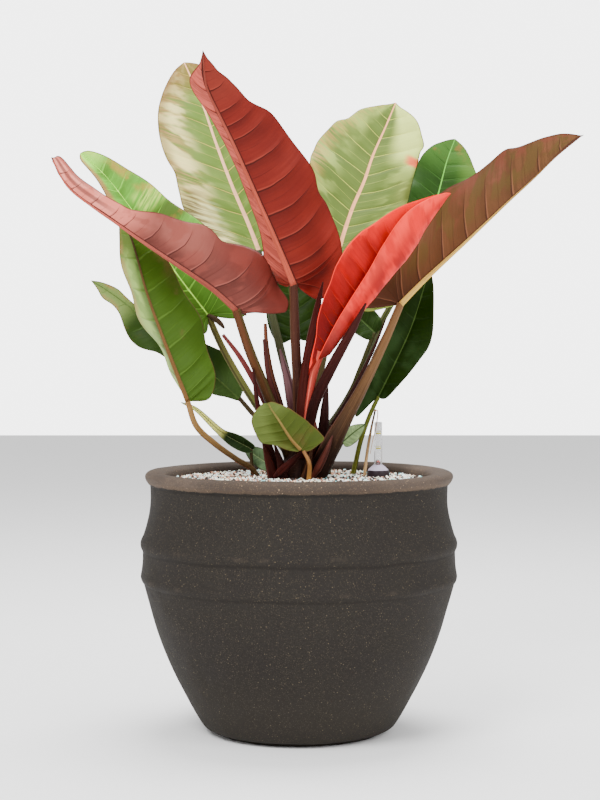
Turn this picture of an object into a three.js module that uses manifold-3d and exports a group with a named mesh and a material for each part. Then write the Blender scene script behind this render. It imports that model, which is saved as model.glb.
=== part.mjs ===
// A potted prince of orange philodendron: a round-bellied planter with a rolled rim and two raised bands,
// filled with granulate, with a water gauge and one large leafy plant. Millimetres, +Z up. The origin is the
// centre of the planter's underside, and its show side looks along -Y.
import * as THREE from "three";
import { mergeVertices } from "three/addons/utils/BufferGeometryUtils.js";
import Module from "manifold-3d";

const wasm = await Module();
wasm.setup();

// Driving dimensions of the planter
const TURNS = 32; // flat sides of each turned piece
const FOOT_RADIUS = 92;
const BELLY = [[104, 6], [109, 12], [127.6, 45], [143.6, 78], [156.2, 111], [165.6, 144], [170.2, 160]];
const BELLY_STEPS = 7;
const BAND_HEIGHTS = [171, 208];
const BAND_WIDTH = 7; // half the height of a raised band
const BAND_PROUD = 2.6;
const BAND_RADIUS = 172;
const SHOULDER = [[168.4, 226], [165, 240], [163.4, 252], [163.6, 268]];
const RIM = [
  [167, 272], [169.5, 277.5], [168.4, 282.5], [164.8, 285.8], [160, 286.6], [152, 285.4], [146, 283],
];
const MOUTH_RADIUS = 144;
const INNER_BELLY = [[144, 236], [156, 205], [155, 160], [140, 105], [116, 55], [97, 24]];
const FLOOR = 16;
const FLOOR_RADIUS = 88;

// Driving dimensions of the filling
const SEAT = 0.3; // clearance between pieces that rest on each other
const SUBSTRATE_TOP = 250;
const GRANULATE_TOP = 276;
const GRAIN = 1.5; // height of the granulate's relief
const GRAIN_RINGS = 7;
const HOLE_CLEARANCE = 0.35;

// Driving dimensions of the water gauge
const GAUGE = { x: 89, y: 42, sides: 12 };
const GAUGE_FLAT = 17; // level ground round the gauge's base
const SHAFT = { outer: 7, inner: 5, lip: 3, foot: 60 };
const BASE = { radius: 12.5, bottom: 277.9, top: 284, throat: 2.6 };
const HEAD = { cone: 11.6, coneTop: 292, outer: 4.4, inner: 3.2, top: 338 };
const SCALE_BARS = [309, 326];
const SCALE_BAR = { inner: 4.7, outer: 5.4, height: 2.2 };
const FLOAT = { rod: 1.1, tip: 2.3, tipBottom: 286.5, tipTop: 294, body: 4.2, height: 22 };

// Driving dimensions of the plant
const BLADE_THICKNESS = 0.8;
const VEIN_SWEEP = 0.45; // how far a side vein runs towards the tip for each unit that it runs outwards
const LOBE_ROWS = 3;
const BUTT_GAP = 0.35; // between a blade and the stalk that carries it
const LEAST_CURL = 0.1; // degrees

const COLOURS = {
  stoneware: 0x3f3933, soil: 0x33261c, gravel: 0xd9d6d0, gaugeBase: 0x3b3444, clear: 0xe6ecec,
  bar: 0xd9b53c, floatRed: 0xd24a2a, sheath: 0x6b2420, olive: 0x7a7a3a, tan: 0x9a7a4c,
  brick: 0xa03a2c, rose: 0xa4605a, brown: 0x7d5638, young: 0xd0423a, pale: 0xa9bd7c,
  green: 0x4f7d2c, bright: 0x5f9a35, dark: 0x2c4f1e, small: 0x6f8a3a, straw: 0xb79a86,
};

// Small helpers

const vector = (p) => new THREE.Vector3(...p);

function finish(colour, roughness = 0.55, metalness = 0) {
  return new THREE.MeshStandardMaterial({ color: colour, roughness, metalness });
}

function between(values, t) {
  const place = THREE.MathUtils.clamp(t, 0, 1) * (values.length - 1);
  const index = Math.min(Math.floor(place), values.length - 2);
  return THREE.MathUtils.lerp(values[index], values[index + 1], place - index);
}

function seeded(seed) {
  let state = seed;
  return () => {
    state = (state * 1664525 + 1013904223) % 4294967296;
    return state / 4294967296;
  };
}

// Turns points and triangles into one closed solid, with equal points merged and flat triangles dropped.
function solidOfFaces(points, faces) {
  const positions = faces.flat().flatMap((index) => points[index].toArray());
  const geometry = new THREE.BufferGeometry();
  geometry.setAttribute("position", new THREE.Float32BufferAttribute(positions, 3));
  return solidOf(geometry);
}

function solidOf(geometry) {
  const bare = geometry.clone();
  bare.deleteAttribute("normal");
  bare.deleteAttribute("uv");
  const merged = mergeVertices(bare, 1e-3);
  const index = [];
  for (let i = 0; i < merged.index.count; i += 3) {
    const [a, b, c] = [0, 1, 2].map((k) => merged.index.getX(i + k));
    if (a !== b && b !== c && a !== c) index.push(a, b, c);
  }
  return new wasm.Manifold(new wasm.Mesh({
    numProp: 3,
    vertProperties: merged.attributes.position.array,
    triVerts: new Uint32Array(index),
  }));
}

function largestBody(solid) {
  return solid.decompose().reduce((best, body) => (body.volume() > best.volume() ? body : best));
}

function geometryOf(solid) {
  const mesh = solid.getMesh();
  const geometry = new THREE.BufferGeometry();
  geometry.setAttribute("position", new THREE.BufferAttribute(new Float32Array(mesh.vertProperties), 3));
  geometry.setIndex(new THREE.BufferAttribute(new Uint32Array(mesh.triVerts), 1));
  geometry.computeVertexNormals();
  return geometry;
}

function piece(name, solid, material) {
  const mesh = new THREE.Mesh(geometryOf(solid), material);
  mesh.name = name;
  return mesh;
}

// A turned piece about the Z axis, from a profile of [radius, height] points.
function turned(profile, sides = TURNS, x = 0, y = 0) {
  const points = profile.map(([radius, height]) => new THREE.Vector2(radius, height));
  const geometry = new THREE.LatheGeometry(points, sides);
  geometry.rotateX(Math.PI / 2);
  geometry.translate(x, y, 0);
  const solid = solidOf(geometry);
  return solid.volume() < 0 ? turned([...profile].reverse(), sides, x, y) : solid;
}

// Planter and filling

function planter() {
  const belly = new THREE.SplineCurve(BELLY.map((p) => new THREE.Vector2(...p)));
  const bands = BAND_HEIGHTS.flatMap((height) => [-1, -0.45, 0, 0.45, 1].map((step) => [
    BAND_RADIUS + BAND_PROUD * (1 - step * step),
    height + step * BAND_WIDTH,
  ]));
  const inner = [[MOUTH_RADIUS, 279.5], ...INNER_BELLY, [FLOOR_RADIUS, FLOOR], [0, FLOOR]];
  return turned([
    [0, 0], [FOOT_RADIUS, 0], ...belly.getPoints(BELLY_STEPS).map((p) => p.toArray()),
    ...bands, ...SHOULDER, ...RIM, ...inner,
  ]);
}

function substrate() {
  const wall = INNER_BELLY.map(([radius, height]) => [radius - 2 * SEAT, height]).reverse();
  const top = [[MOUTH_RADIUS - 2 * SEAT, SUBSTRATE_TOP - SEAT], [0, SUBSTRATE_TOP - SEAT]];
  return turned([[0, FLOOR + SEAT], [FLOOR_RADIUS - 2 * SEAT, FLOOR + SEAT], ...wall, ...top]);
}

// The granulate's grains as relief on rings of points, level where the gauge stands.
function granulate() {
  const random = seeded(7);
  const radius = MOUTH_RADIUS - 2 * SEAT;
  const points = [new THREE.Vector3(0, 0, SUBSTRATE_TOP), new THREE.Vector3(0, 0, GRANULATE_TOP)];
  const faces = [];
  const ringStart = (ring) => 2 + ring * TURNS;
  for (let ring = 0; ring <= GRAIN_RINGS; ring++) {
    const share = Math.min(ring + 1, GRAIN_RINGS) / GRAIN_RINGS;
    for (let turn = 0; turn < TURNS; turn++) {
      const angle = (2 * Math.PI * turn) / TURNS;
      const [x, y] = [radius * share * Math.sin(angle), radius * share * Math.cos(angle)];
      const level = Math.hypot(x - GAUGE.x, y - GAUGE.y) < GAUGE_FLAT;
      const relief = level ? 0 : GRAIN * (2 * random() - 1);
      points.push(new THREE.Vector3(x, y, ring === GRAIN_RINGS ? SUBSTRATE_TOP : GRANULATE_TOP + relief));
    }
  }
  for (let turn = 0; turn < TURNS; turn++) {
    const next = (turn + 1) % TURNS;
    faces.push([1, ringStart(0) + next, ringStart(0) + turn]);
    faces.push([0, ringStart(GRAIN_RINGS) + turn, ringStart(GRAIN_RINGS) + next]);
    for (let ring = 0; ring < GRAIN_RINGS; ring++) {
      const [a, b] = [ringStart(ring) + turn, ringStart(ring) + next];
      const [c, d] = [ringStart(ring + 1) + turn, ringStart(ring + 1) + next];
      faces.push([a, b, c], [b, d, c]);
    }
  }
  return solidOfFaces(points, faces);
}

// Water gauge

// The shaft reaches down into the filling, and its foot has a lip that the float rests on.
function gaugeShaft() {
  return turned([
    [SHAFT.outer, SHAFT.foot], [SHAFT.outer, BASE.bottom], [BASE.radius, BASE.bottom],
    [BASE.radius, BASE.top - 1.5], [BASE.radius - 1.5, BASE.top], [BASE.throat, BASE.top],
    [BASE.throat, BASE.bottom], [SHAFT.inner, BASE.bottom - 3], [SHAFT.inner, SHAFT.foot + SHAFT.lip],
    [SHAFT.lip, SHAFT.foot + SHAFT.lip], [SHAFT.lip, SHAFT.foot], [SHAFT.outer, SHAFT.foot],
  ], GAUGE.sides, GAUGE.x, GAUGE.y);
}

function gaugeHead() {
  const seat = BASE.top + SEAT;
  return turned([
    [HEAD.cone, seat], [HEAD.outer, HEAD.coneTop], [HEAD.outer, HEAD.top - 1], [HEAD.outer - 1, HEAD.top],
    [0, HEAD.top], [0, HEAD.top - 1.2], [HEAD.inner, HEAD.top - 1.2], [HEAD.inner, seat], [HEAD.cone, seat],
  ], GAUGE.sides, GAUGE.x, GAUGE.y);
}

function gaugeScale() {
  const half = SCALE_BAR.height / 2;
  const bars = SCALE_BARS.map((height) => turned([
    [SCALE_BAR.inner, height - half], [SCALE_BAR.outer, height - half], [SCALE_BAR.outer, height + half],
    [SCALE_BAR.inner, height + half], [SCALE_BAR.inner, height - half],
  ], GAUGE.sides, GAUGE.x, GAUGE.y));
  const [low, high] = SCALE_BARS;
  const rail = new THREE.BoxGeometry(1.2, SCALE_BAR.outer - SCALE_BAR.inner, high - low);
  rail.translate(GAUGE.x, GAUGE.y + (SCALE_BAR.outer + SCALE_BAR.inner) / 2, (low + high) / 2);
  return bars.reduce((all, bar) => all.add(bar), solidOf(rail));
}

function gaugeFloat() {
  const bottom = SHAFT.foot + SHAFT.lip + SEAT;
  const top = bottom + FLOAT.height;
  return turned([
    [0, bottom], [FLOAT.body, bottom], [FLOAT.body, top],
    [FLOAT.rod, top + 2], [FLOAT.rod, FLOAT.tipBottom], [FLOAT.tip, FLOAT.tipBottom],
    [FLOAT.tip, FLOAT.tipTop - 1], [FLOAT.tip - 1, FLOAT.tipTop], [0, FLOAT.tipTop],
  ], GAUGE.sides, GAUGE.x, GAUGE.y);
}

// Stalks and sheaths: a round tube along a smooth curve, with radii given at even steps from root to end.
function stalk({ path, radii, sides = 6, steps = 7 }, grow = 0) {
  const curve = new THREE.CatmullRomCurve3(path.map(vector), false, "centripetal");
  const frames = curve.computeFrenetFrames(steps, false);
  const points = [];
  const faces = [];
  for (let step = 0; step <= steps; step++) {
    const centre = curve.getPointAt(step / steps);
    const radius = between(radii, step / steps) + grow;
    for (let side = 0; side < sides; side++) {
      const angle = (2 * Math.PI * side) / sides;
      points.push(centre.clone()
        .addScaledVector(frames.normals[step], radius * Math.cos(angle))
        .addScaledVector(frames.binormals[step], radius * Math.sin(angle)));
    }
  }
  const cap = points.length;
  points.push(curve.getPointAt(0).addScaledVector(curve.getTangentAt(0), -grow));
  points.push(curve.getPointAt(1).addScaledVector(curve.getTangentAt(1), grow));
  for (let side = 0; side < sides; side++) {
    const next = (side + 1) % sides;
    faces.push([cap, next, side], [cap + 1, steps * sides + side, steps * sides + next]);
    for (let step = 0; step < steps; step++) {
      const [a, b] = [step * sides + side, step * sides + next];
      faces.push([a, b, a + sides], [b, b + sides, a + sides]);
    }
  }
  return solidOfFaces(points, faces);
}

// Leaf blades
//
// Each half of a blade is laid out flat first, by an outline of points from the inner corner of the basal lobe
// to the tip: [share of the midrib's length, distance from the midrib]. The half is then folded by an angle at
// the midrib, curled towards its margin and waved.

const ovate = (width) => [
  [-0.03, 0.25], [-0.04, 0.6], [0.1, 0.92], [0.35, 1], [0.6, 0.84], [0.82, 0.46], [0.95, 0.14],
].map(([along, out]) => [along, out * width]);

function bladePoint(leaf, midrib, length, half, along, out) {
  const inside = THREE.MathUtils.clamp(along, 0, 1);
  const tangent = midrib.getTangentAt(inside);
  const spine = midrib.getPointAt(inside).addScaledVector(tangent, (along - inside) * length);
  const face = vector(leaf.face ?? [0, -1, 0]);
  face.addScaledVector(tangent, -face.dot(tangent)).normalize();
  const across = tangent.clone().cross(face).multiplyScalar(half.side);
  const start = THREE.MathUtils.degToRad(between(half.fold, inside));
  const bend = THREE.MathUtils.degToRad(half.curl || LEAST_CURL) / half.width;
  const end = start + bend * out;
  const sideways = (Math.sin(end) - Math.sin(start)) / bend;
  const forwards = (Math.cos(start) - Math.cos(end)) / bend;
  const share = out / half.width;
  const wave = half.wave * share * share * Math.sin(2 * Math.PI * (half.waves * along + half.phase));
  return spine.addScaledVector(across, sideways - wave * Math.sin(end))
    .addScaledVector(face, forwards + wave * Math.cos(end));
}

// Where the rows of a half meet its margin: a few rows fan round the basal lobe, the rest leave the midrib at
// even steps and sweep forward.
function marginPoints(half, length, rows, lobeRows) {
  const outline = [...half.edge, [1, 0]].map(([along, out]) => new THREE.Vector2(along, out / length));
  const curve = new THREE.SplineCurve(outline);
  const samples = curve.getPoints(160);
  const root = (p) => p.x - VEIN_SWEEP * p.y;
  const first = samples.findIndex((p) => root(p) > 0);
  const margin = [];
  for (let row = 0; row <= lobeRows; row++) margin.push(samples[Math.round((first * row) / lobeRows)]);
  for (let row = 1; row < rows; row++) {
    margin.push(samples.find((p, index) => index >= first && root(p) >= row / rows) ?? samples.at(-2));
  }
  return [...margin, samples.at(-1)];
}

function bladeRows(leaf, midrib, length, side) {
  const half = { wave: 3, waves: 3, phase: side / 8, curl: -20, side, ...leaf[side < 0 ? "left" : "right"] };
  half.fold = [half.fold ?? 0].flat();
  if (half.fold.length < 2) half.fold.push(half.fold[0]);
  half.width = Math.max(...half.edge.map(([, out]) => out));
  const rows = leaf.rows ?? 10;
  const columns = leaf.columns ?? [0.38, 0.72, 1];
  const lobeRows = leaf.lobeRows ?? LOBE_ROWS;
  return marginPoints(half, length, rows, lobeRows).map((margin, index) => {
    const root = Math.max(0, index - lobeRows) / rows;
    const out = Math.max(margin.y * length, 1e-4);
    const ribShare = Math.min(0.25, between(leaf.rib, root) * 0.6 / out);
    return [ribShare, ...columns].map((share) => {
      const along = root + (margin.x - root) * share ** 1.2;
      return bladePoint(leaf, midrib, length, half, along, out * share);
    });
  });
}

// The blade as one thin solid: its middle surface thickened both ways, with the midrib raised underneath.
function blade(leaf) {
  const midrib = new THREE.CatmullRomCurve3(leaf.midrib.map(vector), false, "centripetal");
  const length = midrib.getLength();
  const rows = leaf.rows ?? 10;
  const [left, right] = [-1, 1].map((side) => bladeRows(leaf, midrib, length, side));
  const points = [];
  const ribs = [];
  const index = new Map();
  const keep = (point, rib) => {
    const key = point.toArray().map((value) => Math.round(value * 500)).join();
    if (!index.has(key)) {
      index.set(key, points.length);
      points.push(point);
      ribs.push(rib);
    }
    return index.get(key);
  };
  const grid = left.map((row, number) => {
    const root = Math.max(0, number - (leaf.lobeRows ?? LOBE_ROWS)) / rows;
    const middle = keep(midrib.getPointAt(root), between(leaf.rib, root));
    return [...row.map((p) => keep(p, 0)).reverse(), middle, ...right[number].map((p) => keep(p, 0))];
  });
  const middles = [];
  for (let row = 0; row + 1 < grid.length; row++) {
    for (let column = 0; column + 1 < grid[row].length; column++) {
      const [a, b] = [grid[row][column], grid[row][column + 1]];
      const [c, d] = [grid[row + 1][column], grid[row + 1][column + 1]];
      middles.push(...(column < left[0].length ? [[a, b, c], [b, d, c]] : [[a, b, d], [a, d, c]]));
    }
  }
  return thicken(points, middles.filter((face) => new Set(face).size === 3), ribs, leaf.underside);
}

function thicken(points, middles, ribs, underside) {
  const normals = points.map(() => new THREE.Vector3());
  for (const [a, b, c] of middles) {
    const normal = points[b].clone().sub(points[a]).cross(points[c].clone().sub(points[a]));
    for (const corner of [a, b, c]) normals[corner].add(normal);
  }
  const half = BLADE_THICKNESS / 2;
  const count = points.length;
  const offset = (point, number, way) => {
    const rib = underside === way > 0 ? ribs[number] : 0;
    return point.clone().addScaledVector(normals[number].clone().normalize(), way * (half + rib));
  };
  const all = [...points.map((p, i) => offset(p, i, 1)), ...points.map((p, i) => offset(p, i, -1))];
  const faces = middles.flatMap(([a, b, c]) => [[a, b, c], [c + count, b + count, a + count]]);
  const used = new Set(middles.flatMap(([a, b, c]) => [`${a},${b}`, `${b},${c}`, `${c},${a}`]));
  for (const edge of used) {
    const [a, b] = edge.split(",").map(Number);
    if (!used.has(`${b},${a}`)) faces.push([b, a, a + count], [b, a + count, b + count]);
  }
  return solidOfFaces(all, faces);
}

// The leaves that show, from the front ones to the ones behind. face is the way that the side seen from the
// front looks, and underside says which side that is.
const LEAVES = {
  front_red: {
    colour: COLOURS.brick, underside: true, rib: [4.5, 3, 0.8],
    midrib: [[-4, -26, 485], [-37, -62, 574], [-76, -96, 652], [-96, -112, 697], [-100, -118, 727]],
    left: {
      edge: [
        [0, 8], [0.05, 30], [0.12, 50], [0.22, 58], [0.4, 52], [0.55, 44], [0.7, 34], [0.82, 25], [0.91, 19],
        [0.97, 8],
      ],
      fold: [-60, -55, -35], curl: -25,
    },
    right: {
      edge: [
        [-0.05, 7], [-0.07, 22], [0, 42], [0.06, 62], [0.2, 73], [0.36, 68], [0.5, 65], [0.65, 58], [0.75, 38],
        [0.87, 26], [0.96, 8],
      ],
      fold: [-12], curl: -25,
    },
  },
  left_red: {
    colour: COLOURS.rose, lobeRows: 5, underside: true, rib: [4, 3, 0.8],
    midrib: [[-65, -34, 460], [-119, -50, 502], [-192, -72, 550], [-243, -84, 591], [-261, -86, 623]],
    left: {
      edge: [[-0.03, 8], [-0.06, 26], [0.05, 44], [0.2, 50], [0.45, 42], [0.7, 24], [0.88, 13], [0.96, 5]],
      fold: [-95, -85], curl: -10,
    },
    right: {
      edge: [
        [-0.03, 9], [-0.12, 24], [-0.16, 38], [-0.13, 48], [0.02, 64], [0.12, 69], [0.2, 61], [0.36, 54],
        [0.53, 37], [0.68, 21], [0.84, 17], [0.95, 10],
      ],
      fold: [-10], curl: -25,
    },
  },
  right_brown: {
    colour: COLOURS.brown, underside: true, rib: [4, 3, 0.8],
    midrib: [[110, -14, 469], [165, -34, 520], [235, -58, 586], [301, -70, 648]],
    left: {
      edge: [[-0.06, 8], [-0.14, 20], [-0.08, 31], [0.1, 42], [0.22, 57], [0.4, 64], [0.58, 57], [0.74, 49],
        [0.86, 32], [0.95, 14]],
      fold: [-8], curl: -20,
    },
    right: {
      edge: [[-0.04, 8], [-0.08, 24], [0.05, 40], [0.25, 50], [0.5, 46], [0.72, 34], [0.9, 15], [0.96, 6]],
      fold: [-95, -85], curl: -10,
    },
  },
  new: {
    colour: COLOURS.young, underside: false, rib: [3.5, 2.5, 0.8], rows: 9,
    midrib: [[34, -44, 419], [67, -56, 454], [107, -72, 504], [148, -86, 564], [159, -90, 587]],
    left: {
      edge: [[0, 8], [0.1, 22], [0.25, 44], [0.4, 58], [0.52, 64], [0.66, 60], [0.8, 44], [0.92, 20]],
      fold: [0], curl: 25,
    },
    right: {
      edge: [[0.02, 10], [0.12, 24], [0.3, 40], [0.5, 52], [0.7, 47], [0.86, 28], [0.95, 12]],
      fold: [60], curl: 150, wave: 1,
    },
    columns: [0.3, 0.55, 0.78, 1],
  },
  pale_left: {
    colour: COLOURS.pale, underside: false, rib: [4.5, 3, 0.8],
    midrib: [[-47, 86, 532], [-73, 112, 596], [-105, 146, 685], [-136, 166, 760]],
    left: {
      edge: [
        [-0.03, 8], [-0.06, 24], [0.06, 44], [0.2, 58], [0.36, 65], [0.66, 64], [0.8, 53], [0.9, 38], [0.97, 14],
      ],
      fold: [10], curl: -20,
    },
    right: {
      edge: [[-0.03, 8], [-0.06, 24], [0.06, 44], [0.25, 58], [0.5, 60], [0.7, 50], [0.85, 34], [0.95, 16]],
      fold: [14], curl: -20,
    },
  },
  pale_right: {
    colour: COLOURS.pale, underside: false, rib: [4.5, 3, 0.8],
    midrib: [[43, 86, 519], [63, 116, 577], [86, 148, 645], [115, 178, 714]],
    left: {
      edge: [[-0.03, 6], [-0.06, 22], [0.08, 38], [0.25, 52], [0.42, 62], [0.55, 69], [0.7, 60], [0.82, 42],
        [0.92, 22], [0.97, 9]],
      fold: [12], curl: -18,
    },
    right: {
      edge: [[-0.03, 6], [-0.06, 22], [0.08, 38], [0.2, 50], [0.39, 63], [0.5, 65], [0.65, 57], [0.82, 53],
        [0.92, 40], [0.98, 20]],
      fold: [10], curl: -20,
    },
  },
  green_right: {
    colour: COLOURS.green, underside: false, rib: [3, 2, 0.8], rows: 7,
    midrib: [[140, 105, 531], [162, 132, 599], [174, 148, 641], [184, 158, 667]],
    left: {
      edge: [[-0.03, 5], [-0.05, 18], [0.15, 28], [0.4, 32], [0.68, 33], [0.85, 24], [0.95, 10]],
      fold: [12],
    },
    right: {
      edge: [[-0.03, 5], [-0.05, 18], [0.15, 32], [0.45, 42], [0.65, 43], [0.82, 34], [0.94, 18]],
      fold: [6],
    },
  },
  green_long: {
    colour: COLOURS.bright, underside: false, rib: [3.5, 2.5, 0.8],
    midrib: [[-103, 58, 458], [-137, 66, 502], [-192, 78, 580], [-223, 84, 619], [-250, 86, 643]],
    left: {
      edge: [[-0.03, 6], [-0.07, 22], [0.05, 36], [0.25, 42], [0.5, 34], [0.7, 24], [0.88, 14], [0.96, 6]],
      fold: [50, 60],
    },
    right: {
      edge: [[-0.03, 6], [-0.1, 24], [-0.1, 40], [0.04, 58], [0.22, 64], [0.4, 56], [0.55, 42], [0.68, 35],
        [0.8, 23], [0.92, 11]],
      fold: [14],
    },
  },
  green_big: {
    colour: COLOURS.green, underside: true, rib: [4, 3, 0.8],
    midrib: [[-122, -10, 363], [-141, -14, 413], [-165, -16, 479], [-182, -16, 539], [-195, -16, 569]],
    left: {
      edge: [[-0.01, 5], [-0.02, 18], [0.1, 34], [0.3, 44], [0.48, 46], [0.65, 40], [0.82, 26], [0.94, 10]],
      fold: [-78, -55, -35],
    },
    right: {
      edge: [
        [-0.01, 6], [-0.03, 26], [0.06, 42], [0.2, 48], [0.36, 51], [0.55, 44], [0.7, 35], [0.85, 20], [0.95, 8],
      ],
      fold: [-22],
    },
  },
  dark_left: {
    colour: COLOURS.dark, underside: false, rib: [3, 2, 0.8], rows: 7,
    midrib: [[-71, 80, 367], [-109, 90, 399], [-173, 106, 448], [-242, 120, 499]],
    left: {
      edge: [[-0.01, 5], [0.02, 14], [0.15, 24], [0.35, 31], [0.6, 30], [0.75, 18], [0.88, 9], [0.96, 4]],
      fold: [25],
    },
    right: {
      edge: [[-0.01, 5], [0, 16], [0.15, 26], [0.4, 30], [0.67, 24], [0.85, 14], [0.95, 5]],
      fold: [20],
    },
  },
  dark_right: {
    colour: COLOURS.dark, underside: false, rib: [3, 2, 0.8], rows: 7,
    midrib: [[89, 34, 367], [105, 36, 399], [127, 42, 447], [147, 50, 511]],
    left: {
      edge: [[-0.06, 5], [-0.2, 12], [-0.14, 18], [0.05, 23], [0.25, 27], [0.55, 25], [0.8, 14], [0.95, 6]],
      fold: [20],
    },
    right: {
      edge: [[-0.01, 4], [0.02, 10], [0.15, 16], [0.35, 24], [0.5, 27], [0.7, 19], [0.9, 9]],
      fold: [25],
    },
  },
  dark_back: {
    colour: COLOURS.dark, underside: false, rib: [2.5, 0.8], rows: 5,
    midrib: [[-6, 90, 432], [0, 112, 488], [5, 130, 546]],
    left: { edge: ovate(26), fold: [15] },
    right: { edge: ovate(26), fold: [15] },
  },
  dark_centre: {
    colour: COLOURS.dark, underside: false, rib: [2, 0.8], rows: 4,
    midrib: [[86, 60, 438], [67, 72, 457], [47, 82, 480]],
    left: { edge: ovate(16), fold: [20] },
    right: { edge: ovate(18), fold: [15] },
  },
  small_front: {
    colour: COLOURS.small, underside: true, rib: [2.5, 0.8], rows: 6,
    midrib: [[5, -34, 310], [-15, -32, 334], [-40, -26, 360]],
    left: {
      edge: [[0.02, 4], [0.06, 10], [0.2, 18], [0.42, 28], [0.62, 33], [0.82, 30], [0.96, 18]],
      fold: [-10],
    },
    right: {
      edge: [[-0.03, 4], [-0.1, 18], [-0.03, 28], [0.12, 28], [0.35, 24], [0.62, 18], [0.85, 10], [0.96, 3]],
      fold: [-12],
    },
  },
  small_right: {
    colour: COLOURS.small, underside: false, rib: [1.5, 0.8], rows: 4,
    midrib: [[49, 34, 316], [62, 36, 327], [75, 38, 336]],
    left: { edge: ovate(9), fold: [10], wave: 1 },
    right: { edge: ovate(10), fold: [10], wave: 1 },
  },
  small_left: {
    colour: COLOURS.dark, underside: false, rib: [2, 0.8], rows: 5,
    midrib: [[-54, 54, 307], [-87, 50, 326], [-117, 46, 353], [-133, 44, 360]],
    left: { edge: ovate(9), fold: [30], wave: 1 },
    right: { edge: ovate(10), fold: [50], wave: 1 },
  },
  low_left: {
    colour: COLOURS.small, underside: false, rib: [1.5, 0.8], rows: 4,
    midrib: [[-32, 64, 287], [-49, 70, 298], [-64, 76, 308]],
    left: { edge: ovate(8), fold: [20], wave: 1 },
    right: { edge: ovate(9), fold: [20], wave: 1 },
  },
};

// Stalks of the leaves, root first, each ending where its blade begins. The first group grows from the short
// stem in the middle, the second from the one behind it, and the third stands in holes of its own.
const CROWN_STALKS = {
  front_red: {
    path: [[0, 22, 290], [-1, 6, 369], [-3, -10, 430], [-4, -26, 485]],
    radii: [9, 6.5, 5.4, 5, 4.4],
  },
  left_red: {
    path: [[-8, 22, 296], [-36, 2, 373], [-53, -18, 419], [-65, -34, 460]],
    radii: [8, 5.4, 4.6, 4.2, 3.8],
  },
  right_brown: {
    path: [[8, 24, 262], [21, 16, 284], [41, 4, 325], [67, -4, 373], [92, -10, 425], [110, -14, 469]],
    radii: [9, 8.5, 7, 5.6, 5, 4.4, 4],
  },
  new: { path: [[2, 14, 296], [11, -10, 362], [21, -28, 392], [34, -44, 419]], radii: [7, 4.6, 4, 3.6] },
};

const REAR_STALKS = {
  pale_left: {
    path: [[-1, 64, 290], [-8, 64, 362], [-21, 70, 419], [-35, 79, 476], [-47, 86, 532]],
    radii: [6, 5, 4.6, 4.4],
  },
  pale_right: {
    path: [[4, 64, 290], [22, 66, 385], [35, 76, 453], [43, 86, 519]],
    radii: [6, 5, 4.6, 4.2],
  },
  green_right: {
    path: [[4, 64, 290], [58, 72, 367], [87, 86, 436], [110, 95, 478], [140, 105, 531]],
    radii: [5, 4.4, 3.6, 3],
  },
  green_long: {
    path: [[-5, 64, 290], [-37, 60, 339], [-61, 58, 376], [-87, 58, 422], [-103, 58, 458]],
    radii: [5, 4.4, 4, 3.6],
  },
  dark_left: { path: [[-5, 68, 290], [-36, 70, 328], [-54, 75, 347], [-71, 80, 367]], radii: [4, 3, 2.6] },
  dark_back: { path: [[0, 66, 290], [-3, 76, 379], [-6, 90, 432]], radii: [4, 3.4, 3] },
  dark_centre: { path: [[5, 64, 290], [53, 60, 360], [71, 58, 402], [86, 60, 438]], radii: [4, 3, 2.4] },
};

const LOOSE_STALKS = {
  green_big: {
    path: [[-38, 54, 256], [-52, 42, 284], [-70, 28, 297], [-94, 10, 316], [-113, -4, 336], [-122, -10, 363]],
    radii: [3.4, 3.2, 3.2, 3.4, 3],
  },
  small_front: {
    path: [[10, -8, 256], [11, -20, 279], [11, -36, 298], [5, -34, 310]],
    radii: [3, 2.8, 2.4, 2],
  },
  dark_right: {
    path: [[56, 76, 256], [63, 66, 284], [70, 52, 317], [80, 40, 347], [89, 34, 367]],
    radii: [3.2, 2.8, 2.6, 2.4],
  },
  small_right: { path: [[30, 66, 256], [36, 52, 288], [43, 42, 304], [49, 34, 316]], radii: [2.4, 2, 1.8] },
  small_left: {
    path: [[-53, 64, 262], [-53, 60, 283], [-54, 57, 296], [-54, 54, 307]],
    radii: [2.4, 2, 1.8],
  },
  low_left: { path: [[-22, 60, 262], [-26, 61, 280], [-32, 64, 287]], radii: [2, 1.8, 1.5] },
};

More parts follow.
